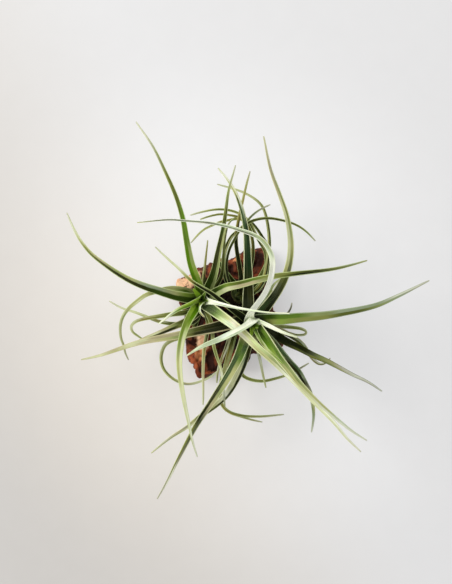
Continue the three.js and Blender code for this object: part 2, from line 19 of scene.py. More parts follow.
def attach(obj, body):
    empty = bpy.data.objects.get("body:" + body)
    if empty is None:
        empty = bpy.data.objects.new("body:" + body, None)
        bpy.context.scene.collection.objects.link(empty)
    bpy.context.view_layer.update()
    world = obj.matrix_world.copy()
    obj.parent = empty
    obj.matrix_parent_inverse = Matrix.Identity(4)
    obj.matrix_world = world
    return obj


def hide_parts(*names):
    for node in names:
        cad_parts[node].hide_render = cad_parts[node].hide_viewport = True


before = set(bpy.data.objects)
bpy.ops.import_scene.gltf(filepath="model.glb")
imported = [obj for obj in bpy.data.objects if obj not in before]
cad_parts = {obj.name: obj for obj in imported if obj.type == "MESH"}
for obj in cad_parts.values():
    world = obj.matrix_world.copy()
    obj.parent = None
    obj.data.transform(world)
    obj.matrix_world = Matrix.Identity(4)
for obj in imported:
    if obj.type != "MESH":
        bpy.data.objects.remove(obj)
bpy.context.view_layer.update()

log = logging.getLogger("air_plant")

Colour = tuple[float, float, float]
Point = tuple[float, float, float]

MM = 0.001                    # metres in a millimetre
NIL = 1e-6                    # what counts as no distance
UP = Vector((0, 0, 1))
GOLDEN_ANGLE = math.pi * (3 - math.sqrt(5))

# Driving dimensions, the same as the solids have

PLAN_STEP = 0.8               # one step of the plan grid that leaf routes are written on
SIGHT_HEIGHT = 1300           # the plan is drawn as seen from this far above level 0 of the routes
SIGHT_AXIS = (-3, 21)         # where the line of sight meets the plan grid
ROUTE_LEVEL = -10             # leaf heights are counted from this level

BLADE_BASE = 1.5              # thickness of a leaf along its middle, where it leaves the stem
BLADE_TIP = 0.62              # the same at its tip
BLADE_MARGIN = 0.36           # thickness of its margins
TIP_WIDTH = 0.9               # width of a leaf's blunt tip
CHANNEL_BASE = math.radians(30)  # how far each half of a leaf folds up at its base
CHANNEL_TIP = math.radians(14)
CHANNEL_END = 0.5             # the share of its length over which the fold opens from one to the other
BASE_SWELL = 0.45             # how much wider a leaf gets towards its root, as a share
BASE_REACH = 60               # over about what distance that fades

STEM_TOP_SHARE = 0.3          # a stem's radius at its crown, as a share of its widest
STEM_FOOT_PHASE = 0.25        # where on its swell a stem starts, from 0 to 1
STEM_SWELL_POWER = 0.8        # how full its swell is
SHEATH_LENGTH = 8             # the stretch of a leaf that lies along its stem
LOWEST_SHEATH = 26            # the lowest level that a leaf's root reaches
SHEATH_STANDOFF = 0.6         # how far its middle stands off the stem along that stretch

HEART_TAPER = 0.7             # the power of a heart leaf's taper
HEART_SEAT = 1.2              # how far from the crown's middle a heart leaf starts

BARK_HEIGHT = 21
PLATE_COUNT = 34              # the rough plates that the bark is broken into
PLATE_LIFT = 2.6              # how far a plate stands out or lies back at most
CRACK_DEPTH = 2.4             # of the cracks between the plates
CRACK_WIDTH = 5
BARK_REACH = (44, 54)         # how far to each side of the middle plates are drawn, right and up
BARK_SHOULDER = (0.96, 0.86)  # shares of the outline between which plates turn from side to top
BARK_TENSION = 0.25           # how far the outline's bends reach from its points

# The generator that draws the plates, as for the solids, so that both have the same plates

DRAW_FACTOR = 1664525
DRAW_STEP = 1013904223
DRAW_RANGE = 2 ** 32

# The outline of the bark in mm, seen from above, clockwise from its upper left

BARK_OUTLINE = [
    (-40, 25), (-33, 31), (-18, 35), (-10, 41), (3, 43), (14, 51), (25, 50), (30, 40), (31, 26), (36, 16),
    (35, 2), (40, -8), (41, -25), (33, -31), (20, -33), (10, -43), (-6, -45), (-16, -53), (-26, -52.5),
    (-28, -46), (-32, -37), (-35.5, -26.5), (-38, -14), (-36, -1), (-41, 10),
]

# Rings of the bark from the middle of its underside to the middle of its top: share of the outline,
# share of the height
BARK_RINGS = [
    (0, 0), (0.9, 0), (0.98, 0.16), (1.01, 0.4), (1, 0.64), (0.96, 0.86), (0.89, 1), (0.78, 1.04),
    (0.66, 1.02), (0.53, 1.04), (0.4, 1.06), (0.27, 1.05), (0.13, 1.04), (0, 1),
]


# Small maths


def mix(start: float, end: float, share: float) -> float:
    """The value at a share of the way from start to end."""
    return start + (end - start) * share


def ease(low: float, high: float, value: float) -> float:
    """A smooth step from 0 at low to 1 at high."""
    share = min(1.0, max(0.0, (value - low) / (high - low)))
    return share * share * (3 - 2 * share)


def colour(red: int, green: int, blue: int) -> Colour:
    """A colour from display values of 0 to 255, as the linear values that shaders take."""
    def linear(value: int) -> float:
        """One display value made linear."""
        share = value / 255
        return share / 12.92 if share <= 0.04045 else ((share + 0.055) / 1.055) ** 2.4
    return (linear(red), linear(green), linear(blue))


def bend(start: Vector, leaving: Vector, end: Vector, arriving: Vector, share: float) -> Vector:
    """A point of the smooth line between two points.

    Args:
        start: the first point.
        leaving: how the line leaves it.
        end: the second point.
        arriving: how the line comes to it.
        share: how far along, from 0 to 1.

    Returns:
        The point.
    """
    square = share * share
    cube = square * share
    return (start * (2 * cube - 3 * square + 1) + leaving * (cube - 2 * square + share)
            + end * (3 * square - 2 * cube) + arriving * (cube - square))


# Leaves, as the plan gives them


class Tone(Enum):
    """The kinds of leaf, by the names of their material slots."""

    HEART = "leaf_heart"
    GREEN = "leaf_green"
    SILVER = "leaf_silver"
    OLIVE = "leaf_olive"


class Hue(Enum):
    """The colours of the leaves, as display values: mostly their own, but the darkest are partly painted
    shade and the brightest partly painted light.
    """

    NIGHT = (22, 29, 3)         # painted shade: near-black green where leaves lie in shade
    PINE = (62, 86, 46)         # deep greyed green
    TEAL = (16, 44, 16)         # deep cool green
    BOTTLE = (46, 68, 3)        # deep green
    LEAF = (92, 122, 38)        # mid green
    VIVID = (84, 124, 2)        # bright green of the youngest leaves
    SPRING = (126, 150, 56)     # the same where it is pale
    FRESH = (160, 196, 58)      # painted light: young green made brighter where leaves stand upright in shade, for light that falls through them
    MOSS = (84, 92, 34)         # dull dark olive
    OLIVE = (122, 128, 64)      # yellow-green
    UMBER = (42, 46, 7)         # dark olive of old leaves; also painted shade on the shaded half or stretch of a leaf
    BRONZE = (142, 130, 56)     # golden olive
    STRAW = (172, 174, 114)     # dry yellow
    FERN = (136, 148, 90)       # soft olive under thin scales
    SAGE = (148, 162, 128)      # grey-green under scales
    SLATE = (78, 84, 60)        # dark grey-green
    GREY = (146, 144, 124)      # dry grey
    TAN = (178, 170, 130)       # dry beige
    LIME = (184, 198, 134)      # pale yellow-green
    CREAM = (204, 208, 162)     # pale yellow
    MIST = (190, 204, 168)      # thick scales over green
    SILVER = (200, 208, 194)    # thick cool scales
    WHITE = (226, 230, 206)     # the thickest scales
    SNOW = (250, 252, 238)      # painted light: the thickest scales made brighter on a face that is turned from the light
    ASH = (198, 196, 174)       # dead tips

    @property
    def linear(self) -> Vector:
        """The colour as the linear values that shaders take."""
        return Vector(colour(*self.value))


(NIGHT, PINE, TEAL, BOTTLE, LEAF, VIVID, SPRING, FRESH, MOSS, OLIVE, UMBER, BRONZE, STRAW, FERN, SAGE,
 SLATE, GREY, TAN, LIME, CREAM, MIST, SILVER, WHITE, SNOW, ASH) = Hue


@dataclass(frozen=True)
class Look:
    """The colours of one leaf.

    Args:
        bands: where along the leaf its colours change, counted in points of its route, and the colours
            of its left and right halves there, as seen from its root. Partly these are painted light and
            shade: a half or stretch is darker where the leaf lies in shade and paler where it catches light.
        rims: the widths in mm of its pale left and right margins.
        margin: the colour of its margins.
        streaks: how strong its dark lengthwise lines are, from 0 to 1.
        split: where its halves meet, from -1 at the left margin to 1 at the right one.
    """

    bands: tuple[tuple[float, Hue, Hue], ...]
    rims: tuple[float, float]
    margin: Hue = LIME
    streaks: float = 0.4
    split: float = 0.0

    def at(self, place: float) -> tuple[Vector, Vector]:
        """The colours of both halves at a place along the route.

        Args:
            place: how many points of the route lie before it.

        Returns:
            The linear colours of the left and the right half.
        """
        before = [band for band in self.bands if band[0] <= place] or [self.bands[0]]
        after = [band for band in self.bands if band[0] > place] or [self.bands[-1]]
        (start, *first), (end, *last) = before[-1], after[0]
        share = (place - start) / (end - start) if end > start else 0.0
        left, right = (a.linear.lerp(b.linear, min(1.0, max(0.0, share))) for a, b in zip(first, last))
        return left, right


@dataclass(frozen=True)
class Leaf:
    """One leaf of a head.

    Args:
        name: its place in the head.
        width: widest width in mm, before its base swells.
        taper: the power of its taper.
        tone: its kind.
        root: the height of its root on the stem.
        route: plan steps right and up, with heights in mm.
        look: its colours.
    """

    name: str
    width: float
    taper: float
    tone: Tone
    root: float
    route: tuple[Point, ...]
    look: Look


@dataclass(frozen=True)
class HeartLeaf:
    """One small leaf of a heart.

    Args:
        facing: the way that it leans, in degrees.
        length: in mm.
        lean: how far out its tip is, in mm.
        width: in mm.
        look: its colours.
    """

    facing: float
    length: float
    lean: float
    width: float
    look: Look


@dataclass(frozen=True)
class Head:
    """One leafy head.

    Args:
        name: which of the three it is.
        foot: where its stem stands in the bark, in mm.
        crown: where its stem ends.
        radius: its stem's widest radius in mm.
        heart: the small leaves that stand up from its crown.
        leaves: its long leaves.
    """

    name: str
    foot: Point
    crown: Point
    radius: float
    heart: tuple[HeartLeaf, ...]
    leaves: tuple[Leaf, ...]

    def radius_at(self, height: float) -> float:
        """The radius of the stem at a height: it swells, then narrows.

        Args:
            height: level above the surface in mm.

        Returns:
            The radius in mm.
        """
        up = min(1.0, max(0.0, (height - self.foot[2]) / (self.crown[2] - self.foot[2])))
        swell = math.sin(math.pi * mix(STEM_FOOT_PHASE, 1, up)) ** STEM_SWELL_POWER if up < 1 else 0.0
        return self.radius * mix(STEM_TOP_SHARE, 1, swell)

    def middle(self, height: float) -> Vector:
        """The middle of the stem at a height in mm."""
        share = (height - self.foot[2]) / (self.crown[2] - self.foot[2])
        return Vector(self.foot).lerp(Vector(self.crown), share)


LEFT_LEAVES = (
    Leaf("heart_curl", 2.6, 0.5, Tone.HEART, 63, ((-26.5, 9.5, 86), (-29.2, 5.5, 93), (-28.8, 0.5, 96),
        (-24.3, -4, 97)),
        Look(((0, FRESH, VIVID), (0.5, LIME, SPRING), (0.8, WHITE, SPRING), (1.5, WHITE, VIVID),
        (2, CREAM, SPRING), (2.5, STRAW, BRONZE), (3, TAN, BRONZE)), (0.4, 0.1), WHITE, 0.1, 0.1)),
    Leaf("north", 7, 0.95, Tone.HEART, 60, ((-31.2, 32, 89), (-38.3, 51, 98), (-42.5, 73, 106),
        (-46, 94, 112), (-52, 114, 116), (-62, 138, 119), (-77, 168, 120), (-93, 191.5, 117)),
        Look(((0.5, VIVID, SPRING), (1.5, VIVID, FERN), (2, LEAF, LEAF), (3, LEAF, VIVID), (3.6, MOSS, LEAF),
        (4, MOSS, MOSS), (5, OLIVE, MOSS), (5.7, GREY, FERN), (6.4, ASH, ASH)), (0.4, 0.4), LIME, 0.4)),
    Leaf("southwest_short", 6, 0.8, Tone.HEART, 60, ((-31, 14, 87), (-41, 8, 94), (-49.5, 4, 95.5),
        (-58, -1.5, 95), (-64.5, -6.5, 93.5), (-70.5, -11, 91)),
        Look(((0.5, SPRING, FRESH), (1, VIVID, FRESH), (1.6, LEAF, SPRING), (2.2, LEAF, LIME),
        (3, SAGE, WHITE), (3.5, ASH, WHITE), (5, WHITE, WHITE)), (0.4, 0.4), LIME, 0.3, 0.1)),
    Leaf("south", 7.6, 0.95, Tone.HEART, 60, ((-36, 2, 88), (-43, -12, 97), (-47.5, -27, 104),
        (-49.7, -44, 107), (-49, -62, 107), (-45.5, -85, 104), (-41, -107, 99), (-36.5, -128, 92),
        (-31.5, -144, 84)),
        Look(((0, VIVID, FRESH), (0.5, VIVID, SPRING), (1, SPRING, SPRING), (1.5, LIME, SPRING),
        (2, CREAM, SPRING), (2.6, CREAM, FERN), (3.4, CREAM, STRAW), (4.2, CREAM, STRAW),
        (4.6, CREAM, CREAM), (7, WHITE, CREAM), (8, WHITE, WHITE)), (0.8, 0.5), LIME, 0.3)),
    Leaf("east_white", 7, 1.9, Tone.SILVER, 61, ((-17, 11, 93), (-4, 8.3, 106), (11, 4.8, 111),
        (26, 2.2, 114.5), (41, 0.4, 116), (61, -0.5, 115)),
        Look(((0, WHITE, WHITE), (1, WHITE, SAGE), (2, WHITE, MIST), (3, MIST, MIST), (4, CREAM, MIST),
        (5, CREAM, WHITE)), (0.5, 0.3), WHITE, 0.3)),
    Leaf("southeast", 8.4, 0.8, Tone.SILVER, 59, ((-17, 3.5, 87), (-7, -3.5, 95), (3, -10.8, 99.5),
        (14, -20.5, 102), (27, -33, 103), (43, -46.8, 102), (59, -62, 100.5), (75, -78, 98), (91, -95, 95),
        (107, -112, 90), (119, -126, 85), (132, -139, 79)),
        Look(((0.3, BOTTLE, BOTTLE), (0.7, LEAF, LEAF), (1.1, FERN, LIME), (1.6, STRAW, MIST),
        (2, ASH, MIST), (2.6, TAN, ASH), (3, STRAW, ASH), (4, LIME, STRAW), (5, FERN, STRAW),
        (6, FERN, WHITE), (7, LIME, CREAM), (8, WHITE, CREAM), (9.5, WHITE, CREAM), (11, ASH, ASH)),
        (1.2, 0.8), CREAM, 0.8)),
    Leaf("west", 8.6, 0.95, Tone.GREEN, 58, ((-39, 15.5, 82), (-54, 17.7, 91), (-69, 21.5, 97),
        (-84, 26.5, 101), (-99, 33, 104), (-114, 41.5, 105), (-129, 52, 105), (-139, 60.5, 104),
        (-149, 73, 102), (-156, 86, 99), (-162, 100.5, 95)),
        Look(((0.5, BOTTLE, SPRING), (1, BOTTLE, STRAW), (2.2, BOTTLE, SAGE), (3, UMBER, SAGE),
        (4, UMBER, STRAW), (5, UMBER, FERN), (6, MOSS, TAN), (7.4, OLIVE, STRAW), (8, STRAW, CREAM),
        (9, WHITE, CREAM), (10, ASH, ASH)), (0.4, 0.6), LIME, 0.4, 0.1)),
    Leaf("east", 7, 0.75, Tone.GREEN, 56, ((-10, 22, 82), (-1, 26.5, 90), (11, 29, 96), (23, 32, 101),
        (37, 35, 105), (51, 37.5, 107), (68, 39.6, 108), (88, 41.7, 107), (107, 44.7, 105), (122, 48, 102),
        (138.5, 52.5, 98)),
        Look(((0, BOTTLE, LIME), (0.6, LEAF, CREAM), (1, SPRING, CREAM), (2, MOSS, TAN), (3, LEAF, TAN),
        (4, OLIVE, FERN), (4.8, OLIVE, OLIVE), (5.4, OLIVE, MOSS), (6, MOSS, NIGHT), (7, UMBER, NIGHT),
        (8, OLIVE, MOSS), (9, SAGE, OLIVE), (10, STRAW, STRAW)), (0.5, 0.5), LIME, 0.4)),
    Leaf("northeast", 7.4, 0.95, Tone.GREEN, 54, ((-15, 38, 84), (-10.4, 61, 95), (-6, 83, 103),
        (-3, 103, 107), (0, 123, 109), (6.5, 148, 108)),
        Look(((0, BOTTLE, FERN), (0.5, UMBER, FERN), (1.5, UMBER, STRAW), (2, BOTTLE, FERN),
        (2.5, MOSS, UMBER), (3, OLIVE, UMBER), (3.5, FERN, MOSS), (4, FERN, STRAW), (5, ASH, ASH)),
        (0.3, 0.6), LIME, 0.3, 0.3)),
    Leaf("north_short", 3, 0.8, Tone.OLIVE, 51, ((-25, 38, 78), (-23.5, 53, 84), (-21.2, 73, 87)),
        Look(((0, STRAW, UMBER), (0.4, CREAM, BRONZE), (0.7, CREAM, BRONZE), (1, STRAW, BRONZE),
        (1.6, STRAW, BRONZE), (2, STRAW, STRAW)), (0.4, 0.2), STRAW, 0.4)),
    Leaf("southwest", 7, 0.85, Tone.GREEN, 49, ((-35, -3, 68), (-44, -9, 72), (-54, -13, 74),
        (-64, -17.5, 74), (-74, -21.7, 72), (-83, -25, 70), (-94, -30, 66), (-105, -34.5, 61)),
        Look(((0, BOTTLE, UMBER), (1.2, LEAF, MOSS), (1.6, OLIVE, MOSS), (2, UMBER, FERN),
        (2.6, NIGHT, STRAW), (3, NIGHT, TAN), (3.6, UMBER, CREAM), (4.1, MOSS, CREAM), (4.6, FERN, CREAM),
        (5.5, TAN, TAN), (7, TAN, CREAM)), (0.5, 0.5), TAN, 0.6)),
    Leaf("west_loop", 4, 0.55, Tone.OLIVE, 50, ((-44, 23.5, 76), (-61, 24.5, 81), (-74, 21, 82),
        (-83, 18, 81), (-91, 12.5, 78), (-99, 6, 74), (-105, -1.5, 69), (-108.3, -10, 63), (-108.8, -19, 57),
        (-107.5, -27, 52), (-105, -33, 48), (-104, -39, 45), (-100.5, -47, 41)),
        Look(((0, LEAF, STRAW), (1, STRAW, STRAW), (2, MOSS, UMBER), (2.8, STRAW, STRAW), (4, CREAM, STRAW),
        (5, STRAW, STRAW), (6, FERN, CREAM), (8, STRAW, CREAM), (9, STRAW, CREAM), (10, STRAW, STRAW),
        (12, ASH, ASH)), (0.3, 0.3))),
    Leaf("south_pale", 3, 0.6, Tone.OLIVE, 51, ((-17, -14, 76), (-16, -30, 83), (-12, -44, 87),
        (-8, -55, 90), (-6, -69, 91), (-5, -80, 91), (-4, -94, 88)),
        Look(((0, OLIVE, OLIVE), (0.7, STRAW, STRAW), (1.5, OLIVE, OLIVE), (2, STRAW, MOSS),
        (2.5, STRAW, STRAW), (3, STRAW, CREAM), (3.5, WHITE, WHITE), (4, CREAM, CREAM), (5, WHITE, WHITE),
        (6, CREAM, OLIVE)), (0.4, 0.4))),
    Leaf("south_thin", 3, 0.55, Tone.OLIVE, 48, ((-21, -10, 64), (-22, -22, 70), (-25, -37, 73),
        (-26, -57, 74), (-25.7, -77, 73), (-26, -92, 69)),
        Look(((0, OLIVE, OLIVE), (1, UMBER, FERN), (2, BRONZE, STRAW), (2.6, STRAW, STRAW), (3.2, TAN, TAN),
        (3.6, TAN, CREAM), (5, CREAM, CREAM)), (0.3, 0.5), CREAM)),
    Leaf("west_curl", 3.8, 0.5, Tone.OLIVE, 44, ((-42, 0.5, 60), (-59, -1.5, 62), (-74, -4, 62),
        (-87, -6.5, 61), (-95, -9.5, 60), (-98.2, -14, 59), (-96.5, -19, 58), (-91, -23, 57),
        (-85, -27, 56)),
        Look(((0, UMBER, MOSS), (1.2, OLIVE, OLIVE), (2, OLIVE, STRAW), (3, BRONZE, TAN),
        (3.6, STRAW, CREAM), (5, CREAM, CREAM), (5.6, TAN, CREAM), (6.2, FERN, STRAW)), (0.4, 0.3))),
    Leaf("north_pale", 3.4, 0.6, Tone.OLIVE, 45, ((-7, 38, 80), (-5, 68, 94), (-3, 81, 97), (0, 90, 98),
        (7, 96, 98)),
        Look(((0, MOSS, UMBER), (0.6, MOSS, OLIVE), (1, STRAW, MOSS), (2, STRAW, UMBER), (2.6, OLIVE, MOSS),
        (3, CREAM, UMBER), (3.5, LIME, OLIVE), (4, OLIVE, OLIVE)), (0.4, 0.3))),
    Leaf("west_thin", 3.2, 0.7, Tone.OLIVE, 42, ((-34, -9, 49), (-49, -11, 51), (-61, -10.5, 52),
        (-72, -8, 52), (-83, -3.5, 51), (-94, 0.7, 50), (-107, 5, 47), (-120, 12, 43)),
        Look(((0, NIGHT, UMBER), (1.2, UMBER, UMBER), (1.8, MOSS, MOSS), (2.5, OLIVE, CREAM),
        (3, STRAW, BRONZE), (4, STRAW, CREAM), (5, CREAM, CREAM), (7, ASH, ASH)), (0.4, 0.4))),
    Leaf("low_curl", 2.8, 0.4, Tone.OLIVE, 40, ((-39, -22, 52), (-55, -26.5, 56), (-64, -32, 57),
        (-68, -45, 58), (-65, -57, 58), (-55, -66.5, 58), (-42, -71, 57), (-29, -68.5, 56), (-17, -63, 55),
        (-11, -57.5, 54)),
        Look(((0, UMBER, OLIVE), (1, STRAW, STRAW), (2, STRAW, CREAM), (3, MOSS, STRAW), (4.4, MOSS, STRAW),
        (5, STRAW, OLIVE), (6, TAN, GREY), (7, CREAM, CREAM), (9, WHITE, WHITE)), (0.3, 0.4))),
)

